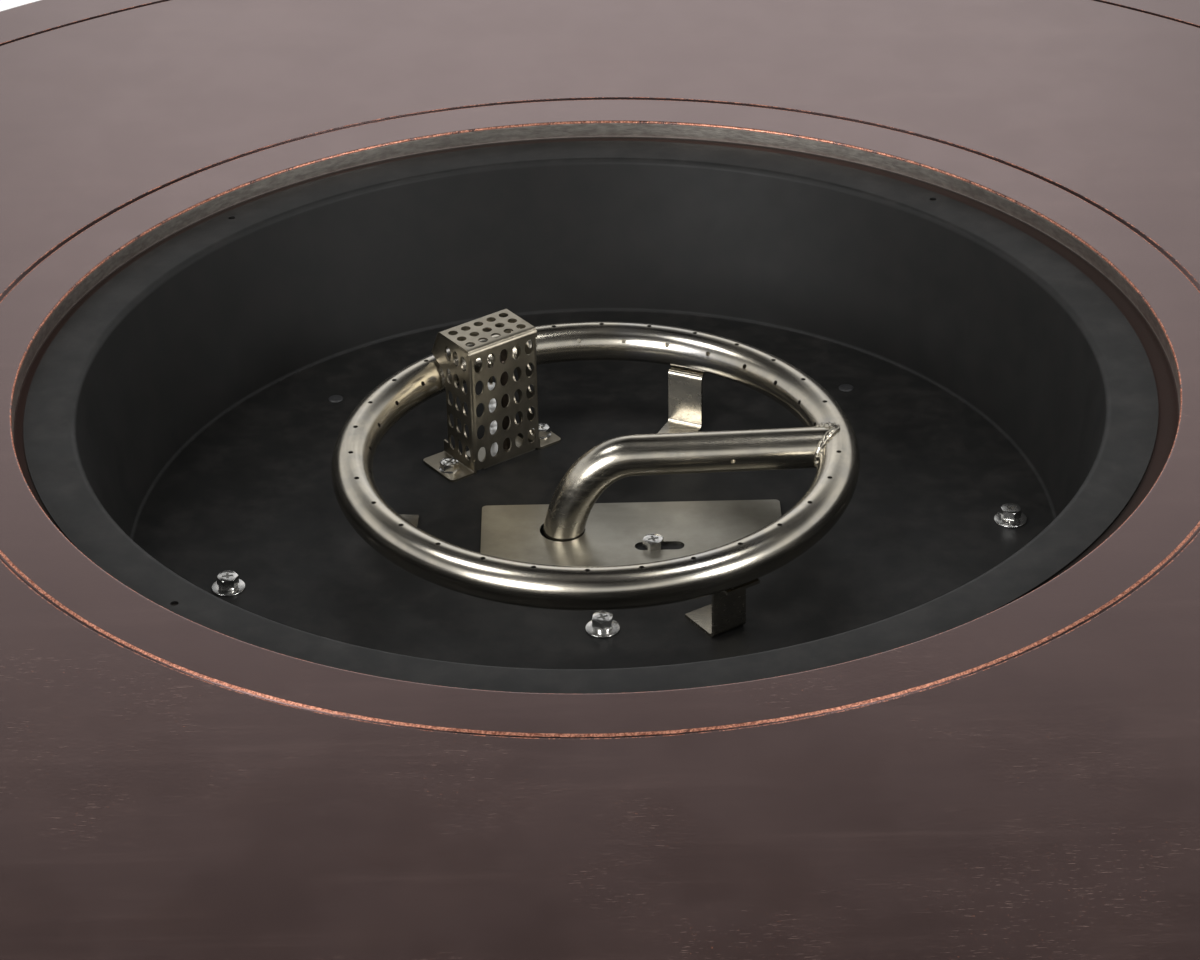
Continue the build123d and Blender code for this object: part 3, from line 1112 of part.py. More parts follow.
def make_knob():
    """Control knob: a skirt, a tapered grip with finger flats and a pointer rib."""
    skirt = rod(KNOB_SKIRT_RADIUS, KNOB_SKIRT_HEIGHT, BEZEL_SIDES)
    base = Pos(0, 0, KNOB_SKIRT_HEIGHT) * RegularPolygon(KNOB_GRIP_RADIUS, KNOB_SIDES)
    crown_radius = KNOB_GRIP_RADIUS - KNOB_GRIP_TAPER
    crown = Pos(0, 0, KNOB_SKIRT_HEIGHT + KNOB_GRIP_HEIGHT) * RegularPolygon(crown_radius, KNOB_SIDES)
    grip = loft([base, crown], ruled=True)
    pointer = box((-POINTER_WIDTH / 2, POINTER_WIDTH / 2),
                  (KNOB_GRIP_RADIUS / 2, KNOB_SKIRT_RADIUS - POINTER_INSET),
                  (KNOB_SKIRT_HEIGHT - CUT, KNOB_SKIRT_HEIGHT + POINTER_RISE))
    socket = Cylinder(SPINDLE_STEM_RADIUS + SPINDLE_RUN, KNOB_STEM_LENGTH + 2 * CUT, align=STANDING)
    knob = Pos(0, 0, HINGE_GAP) * (skirt + grip + pointer) - Pos(0, 0, -CUT) * socket
    return facing_front(knob, KNOB_X, knob_back(), CONTROL_HEIGHT)


def make_bezel():
    """Trim ring round the knob on the control plate."""
    ring = rod(BEZEL_RADIUS, BEZEL_HEIGHT, BEZEL_SIDES)
    ring -= Pos(0, 0, -CUT) * bore(BEZEL_INNER_RADIUS, BEZEL_HEIGHT + 2 * CUT, BEZEL_SIDES)
    return facing_front(ring, KNOB_X, PLATE_FACE, CONTROL_HEIGHT)


def make_igniter_module():
    """Igniter housing through the control plate, and its push button."""
    front = PLATE_FACE - HOUSING_FLANGE_HEIGHT
    barrel = rod(HOUSING_RADIUS, HOUSING_LENGTH)
    flange = rod(HOUSING_FLANGE_RADIUS, HOUSING_FLANGE_HEIGHT)
    flange = Pos(0, 0, HOUSING_LENGTH - HOUSING_FLANGE_HEIGHT) * flange
    bore_depth = BUTTON_DEPTH + BUTTON_TRAVEL + CUT
    hole = Pos(0, 0, HOUSING_LENGTH - bore_depth) * rod(BUTTON_RADIUS + SPINDLE_RUN, bore_depth + CUT)
    housing = facing_front(barrel + flange - hole, BUTTON_X, front + HOUSING_LENGTH, CONTROL_HEIGHT)
    cap = rod(BUTTON_RADIUS, BUTTON_DEPTH + BUTTON_RISE)
    button = facing_front(cap, BUTTON_X, front + BUTTON_DEPTH, CONTROL_HEIGHT)
    return housing, button


def make_inlet():
    """Flare fitting under the valve, where the gas supply is screwed on."""
    top = CONTROL_HEIGHT - VALVE_HEIGHT / 2
    y = FRONT_FACE + VALVE_STANDOFF + VALVE_DEPTH / 2
    body = Pos(0, 0, INLET_LENGTH) * hexagon(INLET_HEX_ACROSS, INLET_HEX_HEIGHT)
    body += Cylinder(INLET_RADIUS, INLET_LENGTH + CUT, align=STANDING)
    body -= Pos(0, 0, -CUT) * bore(INLET_BORE_RADIUS, INLET_LENGTH + CUT)
    return Pos(KNOB_X, y, top - INLET_HEX_HEIGHT - INLET_LENGTH) * body


def make_tank_ring():
    """Retaining ring for the foot of a gas cylinder."""
    ring = rod(TANK_RING_RADIUS, TANK_RING_HEIGHT, TANK_RING_SIDES)
    inner = TANK_RING_RADIUS - TANK_RING_WALL
    ring -= Pos(0, 0, -CUT) * bore(inner, TANK_RING_HEIGHT + 2 * CUT, TANK_RING_SIDES)
    return Pos(TANK_X, 0, FLOOR_TOP) * ring


def main():
    os.makedirs("parts", exist_ok=True)
    save("tabletop", make_tabletop())
    save("top_ribs", *make_ribs())
    save("burner_pan", make_pan())
    save("pan_plugs", *make_plugs())
    save("burner_ring", make_ring())
    save("ring_brackets", *make_ring_brackets())
    save("feed_tube", make_feed_tube())
    save("cover_plate", make_cover_plate())
    cover_bolt, cover_nut = make_cover_bolt()
    save("cover_bolt", cover_bolt)
    save("cover_nut", cover_nut)
    save("igniter_shield", make_shield())
    save("shield_screws", *make_shield_screws())
    insulator, wire, thermocouple, igniter_plate = make_igniter()
    save("electrode_insulator", insulator)
    save("electrode_wire", wire)
    save("thermocouple", thermocouple)
    save("igniter_plate", igniter_plate)
    for name, solids in make_pan_fasteners().items():
        save(name, *solids)
    save("heat_shield", make_heat_shield())
    save("air_mixer", make_mixer())
    save("air_shutter", make_shutter())
    save("orifice_holder", make_orifice())
    save("gas_line", make_gas_line())
    spark_lead, thermo_lead = make_leads()
    save("spark_lead", spark_lead)
    save("thermocouple_lead", thermo_lead)
    save("corner_posts", *make_posts())
    top_rails, bottom_rails = make_rails()
    save("top_rails", *top_rails)
    save("bottom_rails", *bottom_rails)
    feet, foot_nuts = make_feet()
    save("levelling_feet", *feet)
    save("foot_nuts", *foot_nuts)
    save("base_floor", make_base_floor())
    left, right, back = make_side_panels()
    save("left_panel", left)
    save("right_panel", right)
    save("back_panel", back)
    save("front_panel", make_front_panel())
    save("door", make_door())
    pull, pull_screw = make_pull()
    save("door_pull", pull)
    save("pull_screw", pull_screw)
    fixed, moving, pins = make_hinges()
    save("hinge_leaves", *fixed)
    save("door_leaves", *moving)
    save("hinge_pins", *pins)
    catch, strike = make_catch()
    save("magnet_catch", catch)
    save("strike_plate", strike)
    save("control_plate", make_control_plate())
    valve, valve_nut = make_valve()
    save("gas_valve", valve)
    save("valve_nut", valve_nut)
    save("valve_spindle", make_spindle())
    save("control_knob", make_knob())
    save("knob_bezel", make_bezel())
    housing, button = make_igniter_module()
    save("igniter_housing", housing)
    save("igniter_button", button)
    save("gas_inlet", make_inlet())
    save("tank_ring", make_tank_ring())


main()
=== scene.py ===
import json
import math
import random

import bmesh
import bpy
from mathutils import Matrix, Vector


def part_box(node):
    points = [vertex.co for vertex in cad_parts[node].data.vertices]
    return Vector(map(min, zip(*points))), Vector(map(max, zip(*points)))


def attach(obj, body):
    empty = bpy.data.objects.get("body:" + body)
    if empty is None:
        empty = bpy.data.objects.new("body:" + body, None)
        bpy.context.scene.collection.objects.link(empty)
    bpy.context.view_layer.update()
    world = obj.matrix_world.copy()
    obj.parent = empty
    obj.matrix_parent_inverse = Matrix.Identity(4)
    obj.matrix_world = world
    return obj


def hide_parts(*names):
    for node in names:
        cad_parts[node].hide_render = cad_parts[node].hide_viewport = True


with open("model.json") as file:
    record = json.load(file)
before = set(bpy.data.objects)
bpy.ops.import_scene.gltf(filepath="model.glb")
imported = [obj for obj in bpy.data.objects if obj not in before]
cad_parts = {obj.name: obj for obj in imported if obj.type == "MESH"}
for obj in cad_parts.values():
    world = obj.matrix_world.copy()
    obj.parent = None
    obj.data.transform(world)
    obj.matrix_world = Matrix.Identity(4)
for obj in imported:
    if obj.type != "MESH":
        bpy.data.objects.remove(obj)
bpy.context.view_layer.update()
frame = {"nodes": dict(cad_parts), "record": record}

bl_info = {
    "name": "Gas fire pit table",
    "version": (1, 0, 0),
    "blender": (4, 5, 0),
    "location": "View3D > Sidebar > Fire pit",
    "description": "Dresses the packed fire pit table with detailed pieces and procedural finishes",
    "category": "Object",
}

MM = 0.001
UP = Vector((0, 0, 1))
WHITE = (1, 1, 1, 1)

# Turns that stand a flat form up to face the front, or a side
FRONT = Matrix.Rotation(math.radians(90), 4, "X")
SIDE = Matrix.Rotation(math.radians(90), 4, "Z") @ FRONT

# Places in millimetres, from the floor under the centre of the table
PAN_BOLTS = ((-212.9, -57.4), (242.3, -1.5), (1.1, -108.3))
COVER_BOLT = (31.5, -24.0)
COVER_SLOT = (35.3, -24.0)
FEED_PLACE = (-22.0, -4.0)
GAS_LINE_Y = -262.0
LEADS_Y = -276.0

# Angles in degrees, round the ring and round the pan
BRACKET_ANGLES = (65.0, -57.0, 176.0)
FLANGE_HOLE_ANGLES = (45.7, 135.7, 226.5)

# Sizes in millimetres; a bolt's are its head across the flats, the head's height and the shank's radius
TUBE_WALL = 1.6
PANEL_SHEET = 1.6
BRACKET_SHEET = 2.0
M6_BOLT = (11.0, 5.0, 3.0)
SHIELD_SCREW = (10.0, 5.2, 1.9)


def mm(value):
    """A property's length in millimetres."""
    return value / MM


def srgb(red, green, blue):
    """A display colour of 0 to 255 a channel as a linear colour."""
    def linear(channel):
        part = channel / 255
        return part / 12.92 if part <= 0.04045 else ((part + 0.055) / 1.055) ** 2.4
    return (linear(red), linear(green), linear(blue), 1.0)


def low_high(node):
    """Lowest and highest corners of a CAD node in millimetres."""
    low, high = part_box(node)
    return low / MM, high / MM


def centre(node):
    """Middle of a CAD node's box in millimetres."""
    low, high = low_high(node)
    return (low + high) / 2


# Outlines and meshes, all in millimetres

def rounded(corners, closed, steps):
    """Replace each corner (point, radius) by an arc of that radius."""
    line = []
    count = len(corners)
    for index, (point, radius) in enumerate(corners):
        point = Vector(point).to_3d()
        if radius <= 0 or (not closed and index in (0, count - 1)):
            line.append(point)
            continue
        before = Vector(corners[index - 1][0]).to_3d() - point
        after = Vector(corners[(index + 1) % count][0]).to_3d() - point
        back, ahead = before.normalized(), after.normalized()
        half = back.angle(ahead) / 2
        cut = min(radius / math.tan(half), 0.49 * min(before.length, after.length))
        arc = cut * math.tan(half)
        middle = point + (back + ahead).normalized() * (arc / math.sin(half))
        spoke = point + back * cut - middle
        turn = math.pi - 2 * half
        for step in range(steps + 1):
            angle = turn * step / steps
            line.append(middle + spoke * math.cos(angle) - back * arc * math.sin(angle))
    return line


def flat_line(corners, closed=True, steps=6):
    """Rounded outline in a plane from (a, b, radius) corners, as (a, b) pairs."""
    line = rounded([((a, b), radius) for a, b, radius in corners], closed, steps)
    return [(point.x, point.y) for point in line]


def sheet_outline(corners, thickness, steps=6):
    """Closed outline of a folded sheet from the middle line's (a, b, radius) corners."""
    line = [Vector(point) for point in flat_line(corners, False, steps)]
    left, right = [], []
    for index, point in enumerate(line):
        ahead = line[min(index + 1, len(line) - 1)] - line[max(index - 1, 0)]
        side = Vector((-ahead.y, ahead.x)).normalized() * thickness / 2
        left.append(point + side)
        right.append(point - side)
    return [(point.x, point.y) for point in left + right[::-1]]


def circle(radius, count, x=0.0, y=0.0):
    """Points of a circle."""
    turns = [math.tau * index / count for index in range(count)]
    return [(x + radius * math.cos(turn), y + radius * math.sin(turn)) for turn in turns]


def rectangle(left, low, right, high, radius=0.0, steps=6):
    """Points of a rectangle with round corners."""
    return flat_line([(left, low, radius), (right, low, radius), (right, high, radius), (left, high, radius)],
                     steps=steps)


def slot_outline(length, width, count=10):
    """Points of a slot with round ends, along X."""
    reach = (length - width) / 2
    right = [(reach + width / 2 * math.cos(t), width / 2 * math.sin(t))
             for t in [math.pi * (step / count - 0.5) for step in range(count + 1)]]
    return right + [(-a, -b) for a, b in right]


def cross_outline(length, width):
    """Points of a plus sign."""
    far, near = length / 2, width / 2
    quarter = [(far, -near), (far, near), (near, near)]
    return [(math.cos(t) * a - math.sin(t) * b, math.sin(t) * a + math.cos(t) * b)
            for t in (0, math.pi / 2, math.pi, -math.pi / 2) for a, b in quarter]


def skin(rings, closed_run=False):
    """Mesh through closed rings of points that have equal counts, capped unless it runs round."""
    form = bmesh.new()
    rows = [[form.verts.new(point) for point in ring] for ring in rings]
    count = len(rows[0])
    runs = list(zip(rows, rows[1:]))
    if closed_run:
        runs.append((rows[-1], rows[0]))
    for first, second in runs:
        for index in range(count):
            after = (index + 1) % count
            form.faces.new((first[index], first[after], second[after], second[index]))
    if not closed_run:
        form.faces.new(rows[0][::-1])
        form.faces.new(rows[-1])
    bmesh.ops.recalc_face_normals(form, faces=form.faces)
    return form


def prism(outline, low, high, matrix=None):
    """Straight mesh between two heights from an outline in the XY plane."""
    form = skin([[(a, b, level) for a, b in outline] for level in (low, high)])
    if matrix:
        form.transform(matrix)
    return form


def lathe(profile, segments, place=(0.0, 0.0, 0.0), closed=True):
    """Turned mesh from (radius, height) points; an open profile starts or ends on the axis."""
    form = bmesh.new()
    rows = []
    for radius, height in profile:
        if radius < 1e-6:
            rows.append([form.verts.new((0, 0, height))])
            continue
        rows.append([form.verts.new((a, b, height)) for a, b in circle(radius, segments)])
    runs = list(zip(rows, rows[1:]))
    if closed:
        runs.append((rows[-1], rows[0]))
    for first, second in runs:
        for index in range(segments):
            after = (index + 1) % segments
            if len(first) == 1 and len(second) == 1:
                continue
            if len(first) == 1:
                form.faces.new((first[0], second[index], second[after]))
            elif len(second) == 1:
                form.faces.new((first[index], second[0], first[after]))
            else:
                form.faces.new((first[index], second[index], second[after], first[after]))
    bmesh.ops.recalc_face_normals(form, faces=form.faces)
    bmesh.ops.translate(form, vec=place, verts=form.verts)
    return form


def tube(path, radius, sides, closed=False):
    """Round bar along a path; radius is a number or a list of one per point."""
    points = [Vector(point) for point in path]
    count = len(points)
    radii = radius if isinstance(radius, list) else [radius] * count
    tangents = []
    for index in range(count):
        if closed:
            step = points[(index + 1) % count] - points[index - 1]
        else:
            step = points[min(index + 1, count - 1)] - points[max(index - 1, 0)]
        tangents.append(step.normalized())
    side = tangents[0].orthogonal().normalized()
    rings = []
    for point, tangent, size in zip(points, tangents, radii):
        side = (side - tangent * side.dot(tangent)).normalized()
        other = tangent.cross(side)
        rings.append([point + (side * a + other * b) for a, b in circle(size, sides)])
    return skin(rings, closed_run=closed)


def as_mesh(name, form):
    """Mesh data of a form, which is used up."""
    mesh = bpy.data.meshes.new(name)
    form.to_mesh(mesh)
    form.free()
    return mesh


def in_scene(name, data):
    """New object in the scene."""
    obj = bpy.data.objects.new(name, data)
    bpy.context.scene.collection.objects.link(obj)
    return obj


def joined(*forms):
    """One mesh from several, which are used up."""
    whole = bmesh.new()
    for form in forms:
        mesh = as_mesh("joining", form)
        whole.from_mesh(mesh)
        bpy.data.meshes.remove(mesh)
    return whole


def copies(form, matrices):
    """One mesh with a copy of the form, which is used up, at each matrix."""
    mesh = as_mesh("copying", form)
    parts = []
    for matrix in matrices:
        part = bmesh.new()
        part.from_mesh(mesh)
        part.transform(matrix)
        parts.append(part)
    bpy.data.meshes.remove(mesh)
    return joined(*parts)


def combine(form, other, operation="DIFFERENCE"):
    """Exact boolean of two meshes, which are used up."""
    base, tool = [in_scene(name, as_mesh(name, part)) for name, part in (("base", form), ("tool", other))]
    modifier = base.modifiers.new("combine", "BOOLEAN")
    modifier.operation = operation
    modifier.solver = "EXACT"
    modifier.object = tool
    bpy.context.view_layer.update()
    seen = base.evaluated_get(bpy.context.evaluated_depsgraph_get())
    mesh = bpy.data.meshes.new_from_object(seen)
    result = bmesh.new()
    result.from_mesh(mesh)
    if not result.faces:
        raise RuntimeError("a boolean left nothing")
    bpy.data.meshes.remove(mesh)
    for obj in (base, tool):
        spare = obj.data
        bpy.data.objects.remove(obj)
        bpy.data.meshes.remove(spare)
    return result


def at(x, y, z, turn=0.0):
    """Matrix that turns about Z by an angle in degrees, then moves."""
    return Matrix.Translation((x, y, z)) @ Matrix.Rotation(math.radians(turn), 4, "Z")


def on_square(reach, x, z):
    """Matrices that place a form on the corners of a square round (x, 0), at a height."""
    return [at(x + a, b, z) for a in (-reach, reach) for b in (-reach, reach)]


def facing_front(x, y, z):
    """Matrix that turns a form standing on Z = 0 to point along -Y, and places it."""
    return Matrix.Translation((x, y, z)) @ FRONT


def piece(name, form, slot, body="cabinet", replaces=(), sharp=32.0, look=None):
    """Add a mesh as a named piece that rides on a body.

    Its finish is its slot's, unless look names another. Edges sharper than an angle in degrees stay sharp.
    """
    form.transform(Matrix.Scale(MM, 4))
    mesh = as_mesh(name, form)
    mesh.polygons.foreach_set("use_smooth", [True] * len(mesh.polygons))
    mesh.set_sharp_from_angle(angle=math.radians(sharp))
    mesh.materials.append(finish(look or slot))
    obj = in_scene(name, mesh)
    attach(obj, body)
    if replaces:
        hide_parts(*replaces)
    return obj


# Shader node groups

class Wiring:
    """Adds and links nodes in one shader tree."""

    def __init__(self, tree):
        self.tree = tree

    def add(self, kind, inputs=None, **settings):
        """New node with its settings made and its inputs fed."""
        node = self.tree.nodes.new(kind)
        for key, value in settings.items():
            setattr(node, key, value)
        for key, value in (inputs or {}).items():
            self.feed(node.inputs[key], value)
        return node

    def feed(self, socket, value):
        """Link a node's output to a socket, or give the socket a value."""
        if isinstance(value, bpy.types.NodeSocket):
            self.tree.links.new(value, socket)
        else:
            socket.default_value = value

    def math(self, operation, *values):
        return self.add("ShaderNodeMath", dict(enumerate(values)), operation=operation).outputs[0]

    def plus(self, first, second):
        return self.math("ADD", first, second)

    def minus(self, first, second):
        return self.math("SUBTRACT", first, second)

    def times(self, first, second):
        return self.math("MULTIPLY", first, second)

    def apart(self, first, second):
        """How far apart two values are."""
        return self.math("ABSOLUTE", self.minus(first, second))

    def band(self, value, low, high, to_low=0.0, to_high=1.0):
        """Smooth change from to_low to to_high while the value goes from low to high."""
        inputs = {"Value": value, "From Min": low, "From Max": high, "To Min": to_low, "To Max": to_high}
        return self.add("ShaderNodeMapRange", inputs, interpolation_type="SMOOTHSTEP").outputs["Result"]

    def mix(self, factor, first, second):
        """Colour between two colours."""
        return self.add("ShaderNodeMix", {0: factor, 6: first, 7: second}, data_type="RGBA").outputs[2]

    def noise(self, scale, detail, roughness, vector=None):
        """Cloudy noise of 0 to 1, on the object's own coordinates unless others are given."""
        inputs = {"Vector": vector or self.place(), "Scale": scale, "Detail": detail, "Roughness": roughness}
        return self.add("ShaderNodeTexNoise", inputs).outputs["Fac"]

    def place(self, stretch=None):
        """Coordinates on the object in metres, stretched where a scale is given."""
        coordinates = self.add("ShaderNodeTexCoord").outputs["Object"]
        if stretch is None:
            return coordinates
        return self.add("ShaderNodeMapping", {"Vector": coordinates, "Scale": stretch}).outputs[0]

    def axes(self):
        """The coordinates X, Y and Z, each on its own."""
        return self.add("ShaderNodeSeparateXYZ", {0: self.place()}).outputs

    def axis_distance(self):
        """Distance from the table's upright axis."""
        flat = self.add("ShaderNodeVectorMath", {0: self.place(), 1: (1, 1, 0)}, operation="MULTIPLY")
        return self.add("ShaderNodeVectorMath", {0: flat.outputs[0]}, operation="LENGTH").outputs["Value"]

    def bump(self, height, depth):
        return self.add("ShaderNodeBump", {"Height": height, "Distance": depth}).outputs["Normal"]

    def group(self, name, **inputs):
        """Outputs of a shared group, placed with its own values."""
        return self.add("ShaderNodeGroup", inputs, node_tree=shared(name)).outputs


INPUT_KINDS = {1: "NodeSocketFloat", 3: "NodeSocketVector", 4: "NodeSocketColor"}
OUTPUT_KINDS = {"Color": "NodeSocketColor", "Normal": "NodeSocketVector",
                "Roughness": "NodeSocketFloat", "Mask": "NodeSocketFloat"}


def new_group(inputs, *outputs):
    """Empty node group with named sockets; returns its wiring, its inputs and its outputs."""
    tree = bpy.data.node_groups.new("Fire pit group", "ShaderNodeTree")
    for label, value in inputs.items():
        kind = INPUT_KINDS[len(value) if isinstance(value, tuple) else 1]
        socket = tree.interface.new_socket(name=label, in_out="INPUT", socket_type=kind)
        socket.default_value = value
    for label in outputs:
        tree.interface.new_socket(name=label, in_out="OUTPUT", socket_type=OUTPUT_KINDS[label])
    wiring = Wiring(tree)
    return wiring, wiring.add("NodeGroupInput").outputs, wiring.add("NodeGroupOutput").inputs


def mottle_group():
    """Cloudy change between two colours."""
    wiring, given, out = new_group(
        {"Scale": 20.0, "Low": (0, 0, 0, 1), "High": WHITE, "Level": 0.5, "Softness": 0.15}, "Color")
    noise = wiring.noise(given["Scale"], 6.0, 0.6)
    low = wiring.minus(given["Level"], given["Softness"])
    high = wiring.plus(given["Level"], given["Softness"])
    wiring.feed(out["Color"], wiring.mix(wiring.band(noise, low, high), given["Low"], given["High"]))
    return wiring.tree


def grain_group():
    """Fine lines drawn along one axis, as brushing or rolling leaves them."""
    wiring, given, out = new_group(
        {"Stretch": (40.0, 2000.0, 2000.0), "Depth": 0.00002, "Smooth": 0.25, "Rough": 0.4}, "Roughness", "Normal")
    lines = wiring.add("ShaderNodeVectorMath", {0: wiring.place(), 1: given["Stretch"]}, operation="MULTIPLY")
    noise = wiring.noise(1.0, 3.0, 0.6, lines.outputs[0])
    wiring.feed(out["Roughness"], wiring.band(noise, 0.3, 0.7, given["Smooth"], given["Rough"]))
    wiring.feed(out["Normal"], wiring.bump(noise, given["Depth"]))
    return wiring.tree


def peel_group():
    """Pebbled skin of sprayed, moulded or cast surfaces."""
    wiring, given, out = new_group(
        {"Scale": 900.0, "Depth": 0.00003, "Smooth": 0.4, "Rough": 0.5}, "Roughness", "Normal")
    noise = wiring.noise(given["Scale"], 2.0, 0.5)
    wide = wiring.noise(wiring.times(given["Scale"], 0.03), 4.0, 0.6)
    wiring.feed(out["Roughness"], wiring.band(wide, 0.35, 0.65, given["Smooth"], given["Rough"]))
    wiring.feed(out["Normal"], wiring.bump(noise, given["Depth"]))
    return wiring.tree


def worn_circle_group():
    """Bare metal along a circle round the table's axis, uneven in width and broken in places."""
    wiring, given, out = new_group({"Radius": 0.33, "Width": 0.002, "Wander": 0.001, "Cover": 0.5}, "Mask")
    drift = wiring.minus(wiring.noise(120.0, 6.0, 0.75), 0.5)
    moved = wiring.plus(wiring.axis_distance(), wiring.times(drift, given["Wander"]))
    away = wiring.apart(moved, given["Radius"])
    near = wiring.band(away, wiring.times(given["Width"], 0.55), given["Width"], 1.0, 0.0)
    kept = wiring.band(wiring.noise(110.0, 8.0, 0.8), wiring.minus(0.9, given["Cover"]),
                       wiring.minus(1.0, given["Cover"]))
    wiring.feed(out["Mask"], wiring.times(near, kept))
    return wiring.tree


def dust_group():
    """Thin dust that lies on what faces up."""
    wiring, given, out = new_group({"Amount": 0.2, "Scale": 60.0}, "Mask")
    facing = wiring.add("ShaderNodeSeparateXYZ", {0: wiring.add("ShaderNodeNewGeometry").outputs["Normal"]})
    level = wiring.band(facing.outputs["Z"], 0.5, 1.0)
    spots = wiring.band(wiring.noise(given["Scale"], 8.0, 0.7), 0.4, 0.75)
    wiring.feed(out["Mask"], wiring.times(wiring.times(level, spots), given["Amount"]))
    return wiring.tree


GROUPS = {"mottle": mottle_group, "grain": grain_group, "peel": peel_group, "worn": worn_circle_group,
          "dust": dust_group}


def shared(name):
    """A shared node group, built on first use."""
    label = "Fire pit " + name
    if label not in bpy.data.node_groups:
        GROUPS[name]().name = label
    return bpy.data.node_groups[label]


def start_material(name, metallic=0.0, **values):
    """Material with a Principled shader; returns it, its wiring and the shader's inputs."""
    material = bpy.data.materials.new(name)
    material.use_nodes = True
    wiring = Wiring(material.node_tree)
    shader = next(node for node in material.node_tree.nodes if node.type == "BSDF_PRINCIPLED").inputs
    shader["Metallic"].default_value = metallic
    for key, value in values.items():
        shader[key.replace("_", " ")].default_value = value
    return material, wiring, shader


def plain_finish(name, low, high, scale, texture, smooth, rough, depth, metallic=0.0, dust=0.0, **values):
    """Finish of clouded colour, with brushed lines where the texture is their stretch, or a pebbled
    skin where it is a scale, and a film of dust."""
    material, wiring, shader = start_material(name, metallic, **values)
    colour = wiring.group("mottle", Scale=scale, Low=low, High=high)["Color"]
    if dust:
        colour = wiring.mix(wiring.group("dust", Amount=dust)["Mask"], colour, srgb(150, 145, 138))
    kind, extent = ("grain", "Stretch") if isinstance(texture, tuple) else ("peel", "Scale")
    surface = wiring.group(kind, Depth=depth, Smooth=smooth, Rough=rough, **{extent: texture})
    wiring.feed(shader["Base Color"], colour)
    for socket in ("Roughness", "Normal"):
        wiring.feed(shader[socket], surface[socket])
    return material


def bronze_coat(wiring, size):
    """Colour of the tabletop's coat, with clouds, slanted streaks, scratches and specks, and the streaks."""
    base = wiring.group("mottle", Scale=26.0, Low=size.coat, High=size.coat_light, Level=0.55,
                        Softness=0.22)["Color"]
    slanted = wiring.add("ShaderNodeMapping", {"Vector": wiring.place(), "Rotation": (0, 0, 0.95),
                                               "Scale": (4.0, 70.0, 4.0)}).outputs[0]
    streaks = wiring.noise(1.0, 6.0, 0.65, slanted)
    base = wiring.mix(wiring.band(streaks, 0.5, 0.85, 0.0, 0.25), base, srgb(78, 64, 60))
    patches = wiring.band(wiring.noise(9.0, 4.0, 0.6), 0.46, 0.62)
    dashes = wiring.noise(1.0, 3.0, 0.55, wiring.place((160.0, 1700.0, 160.0)))
    scratches = wiring.times(wiring.band(dashes, 0.6, 0.72, 0.0, 0.35), patches)
    base = wiring.mix(scratches, base, srgb(128, 108, 100))
    specks = wiring.times(wiring.band(wiring.noise(520.0, 5.0, 0.7), 0.62, 0.74, 0.0, 0.4), patches)
    return wiring.mix(specks, base, srgb(140, 88, 62)), streaks


def rubbed_edges(wiring, size, level, top):
    """Where the coat is rubbed off: along the opening, beside both grooves and along the outer edge."""
    inner, outer = size.inner_groove_radius, size.outer_groove_radius
    bare = 0.0
    for radius, width, wander, cover in (
            (size.opening_radius + 0.0003, 0.0007, 0.001, 0.5),
            (inner - 0.0014, 0.0009, 0.001, 0.56),
            (inner + 0.002, 0.0005, 0.0009, 0.44),
            (outer - 0.0014, 0.0008, 0.001, 0.5),
            (outer + 0.002, 0.0005, 0.0009, 0.42),
            (size.table_radius - 0.003, 0.0018, 0.002, 0.42)):
        mask = wiring.group("worn", Radius=radius, Width=width, Wander=wander, Cover=cover)["Mask"]
        bare = wiring.math("MAXIMUM", bare, mask)
    return wiring.times(bare, wiring.band(level, top - 0.0016, top - 0.0008))


